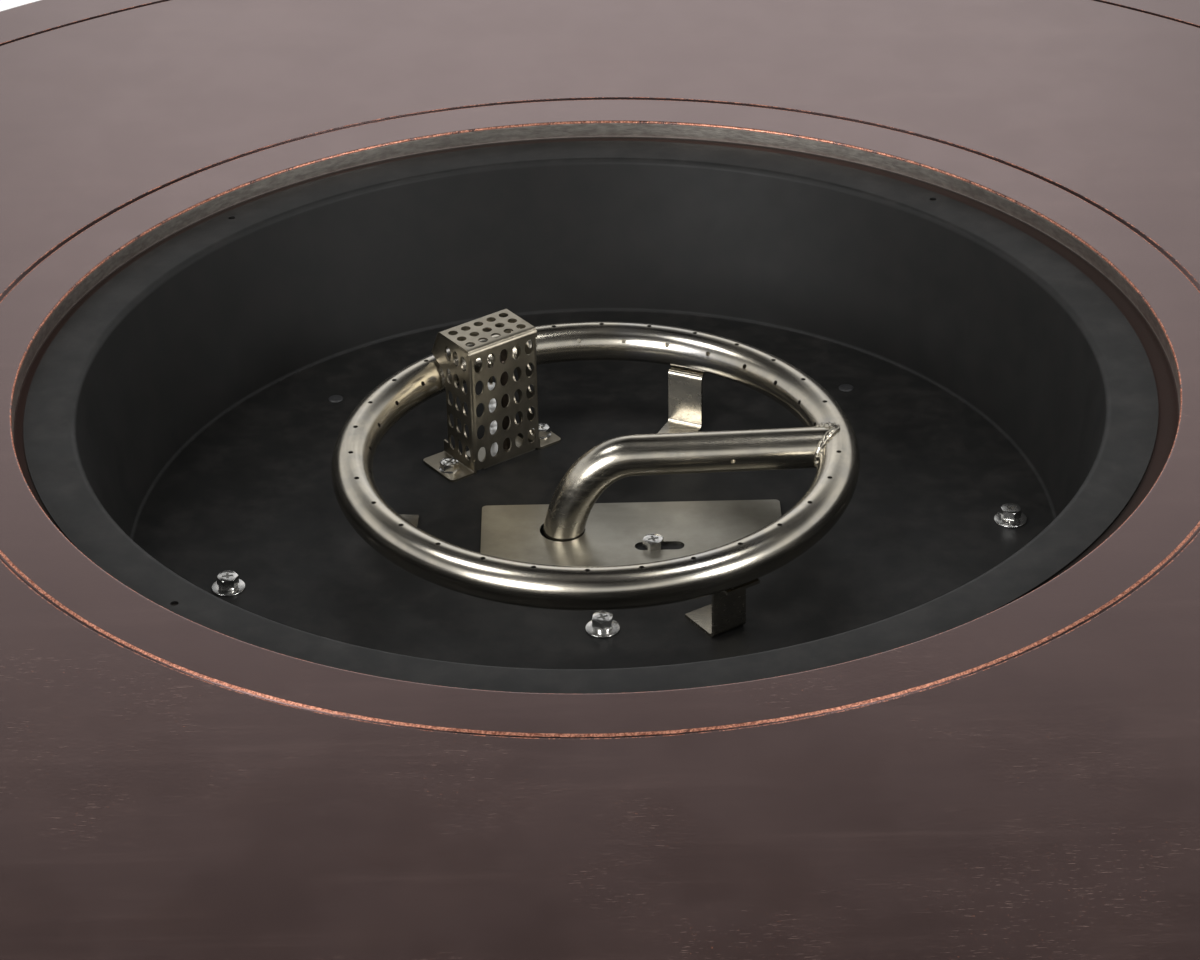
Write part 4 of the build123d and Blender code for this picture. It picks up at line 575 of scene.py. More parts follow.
def bronze_top():
    """Dark bronze coat of the tabletop, rubbed through to copper along its edges and grooves."""
    size = bpy.context.scene.firepit_table
    material, wiring, shader = start_material("top_bronze", IOR=2.1, Specular_Tint=(1.0, 0.64, 0.61, 1.0))
    base, streaks = bronze_coat(wiring, size)
    level = wiring.axes()["Z"]
    radius = wiring.axis_distance()
    top = low_high("tabletop")[1].z * MM
    bare = rubbed_edges(wiring, size, level, top)
    copper = wiring.mix(wiring.band(wiring.noise(900.0, 4.0, 0.7), 0.35, 0.62), size.bare, srgb(112, 62, 44))
    # Painted shade: the inside of each groove is darkened to near black, as the shade in its recess
    for groove in (size.inner_groove_radius, size.outer_groove_radius):
        groove_shade = wiring.band(wiring.apart(radius, groove), 0.001, 0.002, 0.9, 0.0)
        base = wiring.mix(groove_shade, base, srgb(14, 9, 8))

    # The ledge is the wall's metal made dim, as painted shade under the pan's flange, and the opening's wall between
    # the ledge and the edge is brighter and crinkled
    ledge_foot, ledge_top = top - 0.0112, top - 0.0104
    ledge = wiring.times(wiring.math("LESS_THAN", radius, size.opening_radius + 0.001),
                         wiring.band(level, ledge_foot, ledge_top, 1.0, 0.0))
    base = wiring.mix(ledge, base, srgb(62, 58, 55))
    on_wall = wiring.math("LESS_THAN", wiring.apart(radius, size.opening_radius), 0.0003)
    wall = wiring.times(wiring.band(level, top - 0.002, top - 0.0012, 1.0, 0.0), on_wall)
    wall = wiring.times(wall, wiring.band(level, ledge_foot, ledge_top))
    crinkle = wiring.noise(1.0, 4.0, 0.6, wiring.place((160.0, 160.0, 420.0)))
    metal = wiring.mix(wiring.band(crinkle, 0.3, 0.7), srgb(160, 152, 145), srgb(190, 184, 175))
    base = wiring.mix(wall, base, metal)

    wiring.feed(shader["Base Color"], wiring.mix(bare, base, copper))
    wiring.feed(shader["Metallic"], wiring.math("MAXIMUM", wiring.math("MAXIMUM", wall, ledge),
                                                wiring.times(bare, 0.75)))
    peel = wiring.group("peel", Scale=700.0, Depth=0.00001, Smooth=0.23, Rough=0.26)
    rubbed = wiring.plus(wiring.times(bare, 0.15), wiring.times(wall, 0.16))
    rubbed = wiring.plus(rubbed, wiring.times(ledge, 0.4))
    wiring.feed(shader["Roughness"], wiring.plus(peel["Roughness"], rubbed))
    fine = wiring.plus(wiring.times(streaks, 0.6), wiring.noise(700.0, 2.0, 0.5))
    height = wiring.plus(fine, wiring.times(wiring.times(crinkle, wall), 6.0))
    wiring.feed(shader["Normal"], wiring.bump(height, 0.00002))
    return material


def ring_steel():
    """Drawn and polished stainless tube: fine lines round the table's axis, and faint heat tint."""
    material, wiring, shader = start_material("burner_steel", metallic=1.0)
    lines_per_metre, lines_per_turn = 520.0, 3.0
    spot = wiring.axes()
    turn = wiring.math("ARCTAN2", spot["Y"], spot["X"])
    lines = wiring.add("ShaderNodeCombineXYZ", {0: wiring.times(wiring.axis_distance(), lines_per_metre),
                                                1: wiring.times(turn, lines_per_turn),
                                                2: wiring.times(spot["Z"], lines_per_metre)}).outputs[0]
    drawn = wiring.noise(1.0, 3.0, 0.6, lines)
    cloud = wiring.group("mottle", Scale=55.0, Low=srgb(166, 161, 150), High=srgb(182, 175, 160))["Color"]
    heated = wiring.band(wiring.noise(14.0, 3.0, 0.5), 0.55, 0.7, 0.0, 0.5)
    wiring.feed(shader["Base Color"], wiring.mix(heated, cloud, srgb(150, 155, 168)))
    wiring.feed(shader["Roughness"], wiring.band(drawn, 0.3, 0.75, 0.19, 0.27))
    wiring.feed(shader["Normal"], wiring.bump(drawn, 0.00001))
    return material


# Brushed lines along X or Z: how many features a metre holds on each axis
STEEL_LINES_X = (30.0, 1800.0, 1800.0)
TUBE_LINES_X = (16.0, 420.0, 420.0)
STEEL_LINES_Z = (1800.0, 1800.0, 30.0)

# Two colours, scale of their clouds, texture, least and most roughness, depth of the bump, metallic, dust
FINISHES = {
    "top_bronze": bronze_top,
    "burner_steel": ring_steel,
    "pan_black": (srgb(19, 19, 18), srgb(22, 21, 20), 60.0, 1200.0, 0.5, 0.56, 0.00002, 0.0, 0.02),
    "shield_steel": (srgb(139, 132, 117), srgb(157, 149, 133), 60.0, STEEL_LINES_Z, 0.28, 0.4, 0.000008, 1.0),
    "plate_steel": (srgb(150, 146, 135), srgb(168, 164, 153), 30.0, STEEL_LINES_X, 0.3, 0.38, 0.000003, 1.0),
    "tube_steel": (srgb(164, 159, 148), srgb(182, 175, 160), 60.0, TUBE_LINES_X, 0.2, 0.28, 0.00001, 1.0),
    "zinc": (srgb(188, 188, 186), srgb(208, 206, 202), 300.0, 900.0, 0.16, 0.28, 0.000006, 1.0),
    "ceramic": (srgb(226, 226, 224), srgb(236, 235, 232), 200.0, 600.0, 0.12, 0.2, 0.000005),
    "copper_rod": (srgb(78, 70, 64), srgb(96, 86, 76), 180.0, STEEL_LINES_Z, 0.3, 0.45, 0.00001, 1.0),
    "brass": (srgb(196, 164, 96), srgb(210, 180, 112), 120.0, 1500.0, 0.2, 0.32, 0.000006, 1.0),
    "galvanised": (srgb(142, 146, 150), srgb(176, 180, 182), 35.0, 160.0, 0.32, 0.5, 0.000008, 1.0),
    "cabinet_coat": (srgb(50, 43, 40), srgb(58, 50, 46), 45.0, 1500.0, 0.42, 0.54, 0.00005, 0.0, 0.06),
    "frame_coat": (srgb(30, 30, 31), srgb(38, 38, 39), 45.0, 1300.0, 0.45, 0.58, 0.00004, 0.0, 0.08),
    "cast_zinc": (srgb(148, 149, 150), srgb(166, 167, 168), 90.0, 1600.0, 0.36, 0.5, 0.00004, 1.0),
    "lead_red": (srgb(120, 28, 22), srgb(140, 36, 28), 120.0, 900.0, 0.42, 0.55, 0.00002),
    "copper_tube": (srgb(184, 112, 78), srgb(204, 132, 96), 60.0, 900.0, 0.22, 0.36, 0.000008, 1.0),
    "knob_black": (srgb(24, 24, 25), srgb(32, 32, 33), 90.0, 2600.0, 0.38, 0.5, 0.00004, 0.0, 0.05),
    "button_black": (srgb(18, 18, 19), srgb(24, 24, 25), 90.0, 900.0, 0.16, 0.26, 0.000008),
    "foot_black": (srgb(26, 26, 27), srgb(34, 34, 35), 90.0, 1800.0, 0.45, 0.6, 0.00004, 0.0, 0.1),
    "bronze_trim": (srgb(70, 52, 42), srgb(92, 68, 52), 80.0, 1400.0, 0.3, 0.42, 0.00002, 0.7),
}

# Values that a finish has on its shader's own sockets
PLAIN_VALUES = {"pan_black": {"Specular_IOR_Level": 0.2}}
MADE = {}


def finish(slot):
    """The finish of a record slot, built on first use."""
    if slot not in MADE:
        recipe = FINISHES[slot]
        MADE[slot] = recipe() if callable(recipe) else plain_finish(slot, *recipe, **PLAIN_VALUES.get(slot, {}))
    return MADE[slot]


# What a user would change

def length(label, note, value):
    """Length property with its default in millimetres."""
    return bpy.props.FloatProperty(name=label, description=note, default=value * MM,
                                   unit="LENGTH", subtype="DISTANCE")


def angle(label, note, value):
    """Angle property with its default in degrees."""
    return bpy.props.FloatProperty(name=label, description=note, default=math.radians(value),
                                   unit="ROTATION", subtype="ANGLE")


def colour(label, note, value):
    """Colour property."""
    return bpy.props.FloatVectorProperty(name=label, description=note, default=value, size=4,
                                         min=0.0, max=1.0, subtype="COLOR")


def number(label, note, value, least=0.0, **settings):
    """Number property that has a least value."""
    return bpy.props.FloatProperty(name=label, description=note, default=value, min=least, **settings)


class FIREPIT_PG_table(bpy.types.PropertyGroup):
    opening_radius: length("Opening radius", "Radius of the opening in the tabletop", 330.2)
    table_radius: length("Table radius", "Outer radius of the tabletop", 686.0)
    inner_groove_radius: length("Inner groove", "Radius of the groove beside the opening", 366.5)
    outer_groove_radius: length("Outer groove", "Radius of the groove near the outer edge", 629.7)
    groove_width: length("Groove width", "Width of both grooves", 3.6)
    groove_depth: length("Groove depth", "Depth of both grooves", 1.3)
    sheet: length("Sheet", "Thickness of the tabletop's sheet", 2.5)
    edge_radius: length("Edge radius", "Radius of the rolled outer edge", 5.0)
    ledge_width: length("Ledge width", "Width of the ledge under the pan's flange", 28.0)
    coat: colour("Coat", "Main colour of the bronze coat", srgb(33, 24, 22))
    coat_light: colour("Light coat", "Paler cloud in the bronze coat", srgb(38, 28, 25))
    bare: colour("Bare metal", "Copper that shows where the coat is rubbed off", srgb(226, 160, 132))


class FIREPIT_PG_burner(bpy.types.PropertyGroup):
    pan_mouth_radius: length("Pan mouth", "Radius of the pan's wall at its flange", 293.6)
    pan_floor_radius: length("Pan floor", "Radius of the pan's floor", 273.0)
    pan_sheet: length("Pan sheet", "Thickness of the pan's sheet", 1.6)
    pan_fold: length("Pan fold", "Radius between the pan's wall and floor", 3.5)
    flange_hole_circle: length("Flange hole circle", "Radius on which the flange holes lie", 313.0)
    ring_radius: length("Ring radius", "Radius of the ring's centre line", 141.0)
    tube_radius: length("Tube radius", "Outer radius of the burner tubes", 12.0)
    ports: bpy.props.IntProperty(name="Ports", description="Ports on top of the ring", default=30, min=6)
    port_radius: length("Port radius", "Radius of the ring's ports", 1.45)
    port_start: angle("First port", "Angle of the first port on top of the ring", 3.75)
    feed_bend: length("Feed bend", "Reach of the feed tube's bend along the table", 43.0)
    feed_drop: length("Feed drop", "Height of the feed tube's bend", 66.0)
    feed_lean: length("Feed lean", "Offset of the tube where it leaves the plate", 0.8)
    plate_cut: length("Plate cut", "How far the cover plate's front edge stands back from its blank", 29.0)
    feed_turn: angle("Feed turn", "Turn of the feed tube from +X", 2.5)


class FIREPIT_PG_shield(bpy.types.PropertyGroup):
    corner: bpy.props.FloatVectorProperty(name="Corner", description="Near left corner on the pan floor",
                                          default=(-0.0743, 0.0641), size=2, unit="LENGTH")
    turn: angle("Turn", "Turn of the shield's front face from +X", 35.5)
    width: length("Width", "Width of the front face", 49.0)
    height: length("Height", "Height above the pan floor", 84.0)
    sheet: length("Sheet", "Thickness of the folded sheet", 1.2)
    hole_width: length("Hole width", "Width of the oval holes", 5.9)
    hole_length: length("Hole length", "Length of the oval holes", 10.2)
    column_pitch: length("Column pitch", "Distance between hole columns on the front", 9.2)
    row_pitch: length("Row pitch", "Distance between hole rows", 15.3)


class FIREPIT_PG_stage(bpy.types.PropertyGroup):
    floor_colour: colour("Floor", "Colour of the floor", srgb(232, 231, 229))
    lens: number("Lens", "Focal length of the camera in millimetres", 98.0101, 10.0)
    camera_distance: length("Camera distance", "From the opening's centre to the camera", 1867.6)
    camera_elevation: angle("Camera elevation", "Angle of the camera above the tabletop", 28.8438)
    key_power: number("Key power", "Power that each lamp takes a share of", 26.0, unit="POWER")
    fill: number("Fill", "Strength of the even light from all sides", 0.5)
    floor_glow: number("Floor glow", "How much paler the camera sees the floor", 0.35)


# The studio: sizes in millimetres, and the ceiling's glow at parts of its radius
FLOOR_RADIUS = 9000.0
CEILING_RADIUS = 6300.0
CEILING_HEIGHT = 3400.0
CEILING_GLOW = ((0.0, 0.08), (0.45, 0.04), (0.6, 0.25), (0.75, 0.85), (1.0, 1.0))

# Name, place, aim and width in metres, and share of the key power
LAMPS = (
    ("lamp_left", (-1.25, 0.05, 2.9), (0, 0, 0.6), 0.8, 0.7),
    ("lamp_right", (0.95, 0.0, 2.9), (0, 0, 0.6), 0.7, 0.55),
    ("lamp_front", (-1.5, -2.1, 1.75), (0, 0.1, 0.6), 1.5, 2.6),
    ("lamp_side", (2.1, -1.5, 1.8), (0, 0.1, 0.6), 0.9, 1.3),
    ("lamp_back", (0.0, 4.8, 2.7), (0, 0.2, 0.6), 2.4, 0.2),
)

# Small turns of the camera in degrees, each about one of its own axes as the turns before leave it
CAMERA_TURNS = (("above", -0.0424), ("right", -2.0405), ("ahead", 1.2166))


def studio_disc(name, radius, height, material):
    """Round flat backdrop."""
    form = lathe([(0, height), (radius, height)], 64, closed=False)
    form.transform(Matrix.Scale(MM, 4))
    mesh = as_mesh(name, form)
    mesh.materials.append(material)
    return in_scene(name, mesh)


# Operators

class FIREPIT_OT_stage(bpy.types.Operator):
    """Add the pale floor, the soft lights, the white surround and the camera"""
    bl_idname = "firepit.stage"
    bl_label = "Stage"

    def execute(self, context):
        size = context.scene.firepit_stage
        self.floor(size)
        self.ceiling()
        self.surround(size)
        self.lamps(size)
        self.camera(size)
        context.scene.view_settings.view_transform = "Standard"
        return {"FINISHED"}

    def floor(self, size):
        material, wiring, shader = start_material("studio_floor", Roughness=0.7, Emission_Color=WHITE)
        tone = wiring.group("mottle", Scale=1.5, Low=size.floor_colour, High=srgb(240, 239, 238))
        wiring.feed(shader["Base Color"], tone["Color"])
        seen = wiring.add("ShaderNodeLightPath").outputs["Is Camera Ray"]
        wiring.feed(shader["Emission Strength"], wiring.times(seen, size.floor_glow))
        floor = studio_disc("studio_floor", FLOOR_RADIUS, 0, material)

    def ceiling(self):
        """A studio ceiling, dark in its middle, that only reflections show."""
        material = bpy.data.materials.new("studio_ceiling")
        material.use_nodes = True
        wiring = Wiring(material.node_tree)
        material.node_tree.nodes.clear()
        reach = wiring.math("DIVIDE", wiring.axis_distance(), CEILING_RADIUS * MM)
        ramp = wiring.add("ShaderNodeFloatCurve", {"Value": reach})
        curve = ramp.mapping.curves[0]
        curve.points[0].location = CEILING_GLOW[0]
        curve.points[1].location = CEILING_GLOW[-1]
        for part, strength in CEILING_GLOW[1:-1]:
            curve.points.new(part, strength)
        glow = wiring.add("ShaderNodeEmission", {"Color": WHITE, "Strength": ramp.outputs[0]})
        wiring.add("ShaderNodeOutputMaterial", {"Surface": glow.outputs[0]})
        ceiling = studio_disc("studio_ceiling", CEILING_RADIUS, CEILING_HEIGHT, material)
        for ray in ("camera", "diffuse", "transmission", "volume_scatter", "shadow"):
            setattr(ceiling, "visible_" + ray, False)

    def surround(self, size):
        """White for the camera and in reflections, and a weaker even light on the object."""
        world = bpy.data.worlds.new("studio")
        world.use_nodes = True
        bpy.context.scene.world = world
        wiring = Wiring(world.node_tree)
        world.node_tree.nodes.clear()
        path = wiring.add("ShaderNodeLightPath").outputs
        seen = wiring.math("MAXIMUM", path["Is Camera Ray"],
                           wiring.math("MAXIMUM", path["Is Glossy Ray"], path["Is Transmission Ray"]))
        fill, white = [wiring.add("ShaderNodeBackground", {"Color": WHITE, "Strength": strength}).outputs[0]
                       for strength in (size.fill, 1.0)]
        mixed = wiring.add("ShaderNodeMixShader", {0: seen, 1: fill, 2: white})
        wiring.add("ShaderNodeOutputWorld", {"Surface": mixed.outputs[0]})

    def lamps(self, size):
        for name, place, aim, width, share in LAMPS:
            lamp = bpy.data.lights.new(name, "AREA")
            lamp.shape = "DISK"
            lamp.size = width
            lamp.energy = size.key_power * share
            obj = in_scene(name, lamp)
            obj.location = place
            obj.visible_camera = False
            obj.rotation_euler = (Vector(aim) - Vector(place)).to_track_quat("-Z", "Y").to_euler()

    def camera(self, size):
        lens = bpy.data.cameras.new("camera")
        lens.lens = size.lens
        lens.sensor_width = 36.0
        lens.sensor_fit = "HORIZONTAL"
        lens.clip_end = 60.0
        rise, reach = size.camera_elevation, size.camera_distance
        axes = {"right": Vector((1, 0, 0)), "ahead": Vector((0, math.cos(rise), -math.sin(rise)))}
        axes["above"] = axes["right"].cross(axes["ahead"])
        for name, degrees in CAMERA_TURNS:
            turn = Matrix.Rotation(math.radians(degrees), 3, axes[name])
            axes = {key: turn @ axis for key, axis in axes.items()}
        turned = Matrix((axes["right"], axes["above"], -axes["ahead"])).transposed().to_4x4()
        top = low_high("tabletop")[1].z * MM
        place = Matrix.Translation((0, -reach * math.cos(rise), reach * math.sin(rise) + top))
        camera = in_scene("camera", lens)
        camera.matrix_world = place @ turned
        bpy.context.scene.camera = camera


class FIREPIT_OT_tabletop(bpy.types.Operator):
    """Build the round tabletop with its grooves, opening, ledge and skirt"""
    bl_idname = "firepit.tabletop"
    bl_label = "Tabletop"

    def execute(self, context):
        size = context.scene.firepit_table
        low, high = low_high("tabletop")
        top, sheet = high.z, mm(size.sheet)
        under = top - sheet
        ledge = low_high("burner_pan")[1].z - mm(context.scene.firepit_burner.pan_sheet)
        opening, rim = mm(size.opening_radius), mm(size.table_radius)
        half, depth = mm(size.groove_width) / 2, mm(size.groove_depth)
        edge = mm(size.edge_radius)
        shelf = opening - mm(size.ledge_width)
        corners = [(shelf, ledge - sheet, 0.6), (shelf, ledge, 0.6), (opening, ledge, 0.8), (opening, top, 1.1)]
        for radius in (mm(size.inner_groove_radius), mm(size.outer_groove_radius)):
            corners += [(radius - half, top, 0.5), (radius, top - depth, 0.35), (radius + half, top, 0.5)]
        corners += [(rim, top, edge), (rim, low.z, 1.0), (rim - edge, low.z, 1.0), (rim - edge, under, 2.0),
                    (opening + sheet, under, 1.0), (opening + sheet, ledge - sheet, 1.0)]
        profile = self.refined(flat_line(corners, steps=5))
        piece("spun_tabletop", lathe(profile, 360), "top_bronze", replaces=("tabletop",), sharp=25.0)
        return {"FINISHED"}

    def refined(self, profile, shortest=6.0, pitch=40.0, margin=0.6):
        """The profile with more points along its long runs and near their ends, for even shading."""
        line = []
        for first, second in zip(profile, profile[1:] + profile[:1]):
            span = math.dist(first, second)
            parts = [0.0]
            if span > shortest:
                count = max(1, int(span / pitch))
                parts += [margin / span] + [step / count for step in range(1, count)] + [1 - margin / span]
            line += [(first[0] + (second[0] - first[0]) * part, first[1] + (second[1] - first[1]) * part)
                     for part in parts]
        return line


class FIREPIT_OT_pan(bpy.types.Operator):
    """Build the drop-in burner pan and the plugs in its floor"""
    bl_idname = "firepit.pan"
    bl_label = "Burner pan"

    def execute(self, context):
        size = context.scene.firepit_burner
        low, high = low_high("burner_pan")
        sheet = mm(size.pan_sheet)
        middle = centre("burner_pan").x
        flange = (high.x - low.x) / 2
        level, floor = high.z - sheet / 2, low.z + sheet / 2
        outline = sheet_outline([(0, floor, 0), (mm(size.pan_floor_radius), floor, mm(size.pan_fold)),
                                 (mm(size.pan_mouth_radius), level, 3.5), (flange, level, 0)], sheet)
        profile = [(max(radius, 0.0), height) for radius, height in outline]
        for end in (0, -1):
            profile[end] = (0.0, outline[end][1])
        form = lathe(profile, 240, (middle, 0, 0), closed=False)
        flange_hole, feed_hole, through = 2.2, mm(size.tube_radius) + 1.6, 5.0
        hole_circle = mm(size.flange_hole_circle)
        cutters = []
        for degrees in FLANGE_HOLE_ANGLES:
            turn = math.radians(degrees)
            spot = (middle + hole_circle * math.cos(turn), hole_circle * math.sin(turn))
            cutters.append(prism(circle(flange_hole, 24, *spot), high.z - through, high.z + through))
        spot = (FEED_PLACE[0] + mm(size.feed_lean), FEED_PLACE[1])
        cutters.append(prism(circle(feed_hole, 32, *spot), low.z - through, low.z + through))
        form = combine(form, joined(*cutters))
        piece("spun_pan", form, "pan_black", replaces=("burner_pan",), sharp=28.0)
        self.plugs(middle, low.z + sheet)
        return {"FINISHED"}

    def plugs(self, middle, floor):
        profile = [(0, 0.75), (3.2, 0.7), (4.3, 0.45), (4.7, 0.1), (4.7, 0.02), (2.9, 0.02), (2.9, -1.5), (0, -1.5)]
        low, high = low_high("pan_plugs")
        solid_radius = 4.6
        places = on_square((high.x - low.x) / 2 - solid_radius, middle, floor)
        piece("domed_plugs", copies(lathe(profile, 28, closed=False), places), "zinc",
              replaces=("pan_plugs",), look="foot_black")


class FIREPIT_OT_ring(bpy.types.Operator):
    """Build the ring burner with its drilled ports, and the folded brackets under it"""
    bl_idname = "firepit.ring"
    bl_label = "Ring burner"

    def execute(self, context):
        size = context.scene.firepit_burner
        middle = centre("burner_ring")
        ring, tube_radius = mm(size.ring_radius), mm(size.tube_radius)
        form = lathe(circle(tube_radius, 44, ring), 300, middle)
        port = circle(mm(size.port_radius), 12)
        depth, proud = 9.0, 2.0
        first, pitch = math.degrees(size.port_start), 360 / size.ports
        inwards = Matrix.Rotation(math.radians(-60), 4, "Y")
        cutters = []
        for index in range(size.ports):
            above = at(*middle, first + pitch * index) @ Matrix.Translation((ring, 0, tube_radius))
            cutters.append(prism(port, -depth, proud, above))
            inner = at(*middle, first + pitch * (index + 0.5)) @ Matrix.Translation((ring, 0, 0)) @ inwards
            cutters.append(prism(port, tube_radius - depth, tube_radius + proud, inner))
        form = combine(form, joined(*cutters))
        piece("drilled_ring", form, "burner_steel", replaces=("burner_ring",), sharp=38.0)
        self.brackets(middle, ring)
        return {"FINISHED"}

    def brackets(self, middle, ring):
        low, high = low_high("ring_brackets")
        foot, top = low.z + BRACKET_SHEET / 2, high.z - BRACKET_SHEET / 2
        leg, half_width = ring - 8.0, 11.0
        outline = sheet_outline([(leg - 27, foot, 0), (leg, foot, 3.0), (leg, top, 3.0), (leg + 14, top, 0)],
                                BRACKET_SHEET, 5)
        places = [at(middle.x, middle.y, 0, turn) for turn in BRACKET_ANGLES]
        piece("folded_brackets", copies(prism(outline, -half_width, half_width, FRONT), places), "burner_steel",
              replaces=("ring_brackets",), look="tube_steel")


class FIREPIT_OT_feed(bpy.types.Operator):
    """Build the bent feed tube with its weld, and the cover plate round it"""
    bl_idname = "firepit.feed"
    bl_label = "Feed tube"

    def execute(self, context):
        size = context.scene.firepit_burner
        ring_middle = centre("burner_ring")
        foot = low_high("feed_tube")[0].z
        radius, bend, drop = mm(size.tube_radius), mm(size.feed_bend), mm(size.feed_drop)
        along = Vector((math.cos(size.feed_turn), math.sin(size.feed_turn), 0))
        across = Vector((along.y, -along.x, 0))
        corner = Vector((*FEED_PLACE, ring_middle.z))
        reach = ring_middle.x + mm(size.ring_radius) - FEED_PLACE[0]
        path = [Vector((*FEED_PLACE, foot))]
        for degrees in range(90, -1, -3):
            lean = math.radians(degrees)
            path.append(corner + along * bend * (1 - math.sin(lean)) - UP * drop * (1 - math.cos(lean)))
        path.append(corner + along * (reach - 4))
        side_hole = corner + along * (reach - 62) + across * radius
        outwards = Matrix.Translation(side_hole) @ across.to_track_quat("Z", "Y").to_matrix().to_4x4()
        cutter = prism(circle(1.3, 12), -2, 2, outwards)
        bore = prism(circle(radius - TUBE_WALL, 40, *FEED_PLACE), foot - 1, foot + 18)
        form = combine(tube(path, radius, 48), joined(cutter, bore))
        piece("bent_feed_tube", form, "burner_steel", replaces=("feed_tube",), look="tube_steel")
        self.weld(size, ring_middle, corner, along, radius)
        self.plate(size, radius)
        return {"FINISHED"}

    def weld(self, size, ring_middle, corner, along, radius):
        """Bead along the line where the feed tube meets the ring, which is found for each point round the tube."""
        draw = random.Random(7)
        path, sizes = [], []
        across = UP.cross(along)
        count = 90
        for step in range(count):
            turn = math.tau * step / count
            offset = across * math.cos(turn) * radius + UP * math.sin(turn) * radius
            start = corner + offset
            inner_side = mm(size.ring_radius) - math.sqrt(max(radius * radius - offset.z * offset.z, 0))
            level = Vector((start.x - ring_middle.x, start.y - ring_middle.y, 0))
            middle = level.dot(along)
            distance = -middle + math.sqrt(max(middle * middle - level.length_squared + inner_side * inner_side, 0))
            path.append(start + along * (distance - 0.4))
            sizes.append(1.9 + 0.7 * math.sin(step * 2.1) ** 2 + draw.uniform(-0.25, 0.35))
        piece("feed_weld", tube(path, sizes, 12, closed=True), "burner_steel", sharp=60.0, look="tube_steel")

    def plate(self, size, radius):
        low, high = low_high("cover_plate")
        outline = rectangle(low.x, low.y + mm(size.plate_cut), high.x, high.y, 3)
        hole = circle(radius + 1.4, 48, FEED_PLACE[0] + mm(size.feed_lean), FEED_PLACE[1])
        slot = [(COVER_SLOT[0] + a, COVER_SLOT[1] + b) for a, b in slot_outline(29, 9)]
        holes = joined(*[prism(shape, low.z - 3, high.z + 3) for shape in (hole, slot)])
        piece("slotted_cover_plate", combine(prism(outline, low.z, high.z), holes), "plate_steel",
              replaces=("cover_plate",))


def hex_head(across, height, chamfer):
    """Hexagon head with a turned chamfer on top, standing on Z = 0."""
    corner = across / math.sqrt(3)
    block = prism(circle(corner, 6), 0, height)
    cone = lathe([(0, -1), (corner + 1, -1), (corner + 1, height - chamfer), (corner - 1.2, height + 0.3),
                  (0, height + 0.3)], 48, closed=False)
    return combine(block, cone, "INTERSECT")


def crossed_bolt(across, height, radius, length):
    """Hex bolt with a cross recess, its head on Z = 0."""
    head = hex_head(across, height, 0.9)
    head = combine(head, prism(cross_outline(6.4, 1.5), height - 1.8, height + 2))
    shank = lathe([(0, 0.5), (radius, 0.5), (radius, -length + 0.6), (radius - 0.6, -length), (0, -length)],
                  24, closed=False)
    return joined(head, shank)


def split_washer(radius, width, height, lift):
    """Spring washer: one open turn of square wire."""
    rings = []
    count = 40
    for step in range(count + 1):
        turn = math.radians(8 + 344 * step / count)
        base = lift * step / count
        corners = ((radius - width, base), (radius, base), (radius, base + height), (radius - width, base + height))
        rings.append([(a * math.cos(turn), a * math.sin(turn), b) for a, b in corners])
    return skin(rings)


class FIREPIT_OT_fasteners(bpy.types.Operator):
    """Build the bolts, washers and screws inside the burner pan"""
    bl_idname = "firepit.fasteners"
    bl_label = "Fasteners"

    def execute(self, context):
        floor, flat_top = [corner.z for corner in low_high("flat_washers")]
        spring_top = low_high("spring_washers")[1].z
        thickness = flat_top - floor
        flat = lathe(flat_line([(3.5, 0, 0.2), (9.7, 0, 0.3), (9.7, thickness, 0.3), (3.5, thickness, 0.2)],
                               steps=3), 48)
        spring = split_washer(5.6, 1.9, 1.6, 0.4)
        bolt = crossed_bolt(*M6_BOLT, spring_top - low_high("pan_bolts")[0].z)
        for name, form, level, turns, node in (
                ("washers_flat", flat, floor, (0, 0, 0), "flat_washers"),
                ("washers_spring", spring, flat_top, (20, 250, 130), "spring_washers"),
                ("bolts_pan", bolt, spring_top, (8, 40, 22), "pan_bolts")):
            places = [at(x, y, level, turn) for (x, y), turn in zip(PAN_BOLTS, turns)]
            piece(name, copies(form, places), "zinc", replaces=(node,))
        plate_top = low_high("cover_plate")[1].z
        bolt = crossed_bolt(*M6_BOLT, plate_top - low_high("cover_bolt")[0].z)
        bolt.transform(at(*COVER_BOLT, plate_top, 14))
        piece("bolt_cover", bolt, "zinc", replaces=("cover_bolt",))
        self.screws(context.scene.firepit_shield)
        return {"FINISHED"}

    def screws(self, size):
        seat = low_high("igniter_shield")[0].z + mm(size.sheet)
        collar = lathe([(1.5, 0), (6.3, 0), (6.3, 0.5), (5.2, 1.0), (1.5, 1.0)], 36)
        screw = joined(crossed_bolt(*SHIELD_SCREW, 8.2), collar)
        beside, behind = 9.5, 13.0
        places = [shield_matrix(size, seat) @ at(x, behind, 0, 30 + x) for x in (-beside, mm(size.width) + beside)]
        piece("screws_shield", copies(screw, places), "zinc", replaces=("shield_screws",))


def shield_matrix(size, level):
    """Matrix from the shield's own frame to the table's frame, at a height."""
    return at(mm(size.corner[0]), mm(size.corner[1]), level, math.degrees(size.turn))


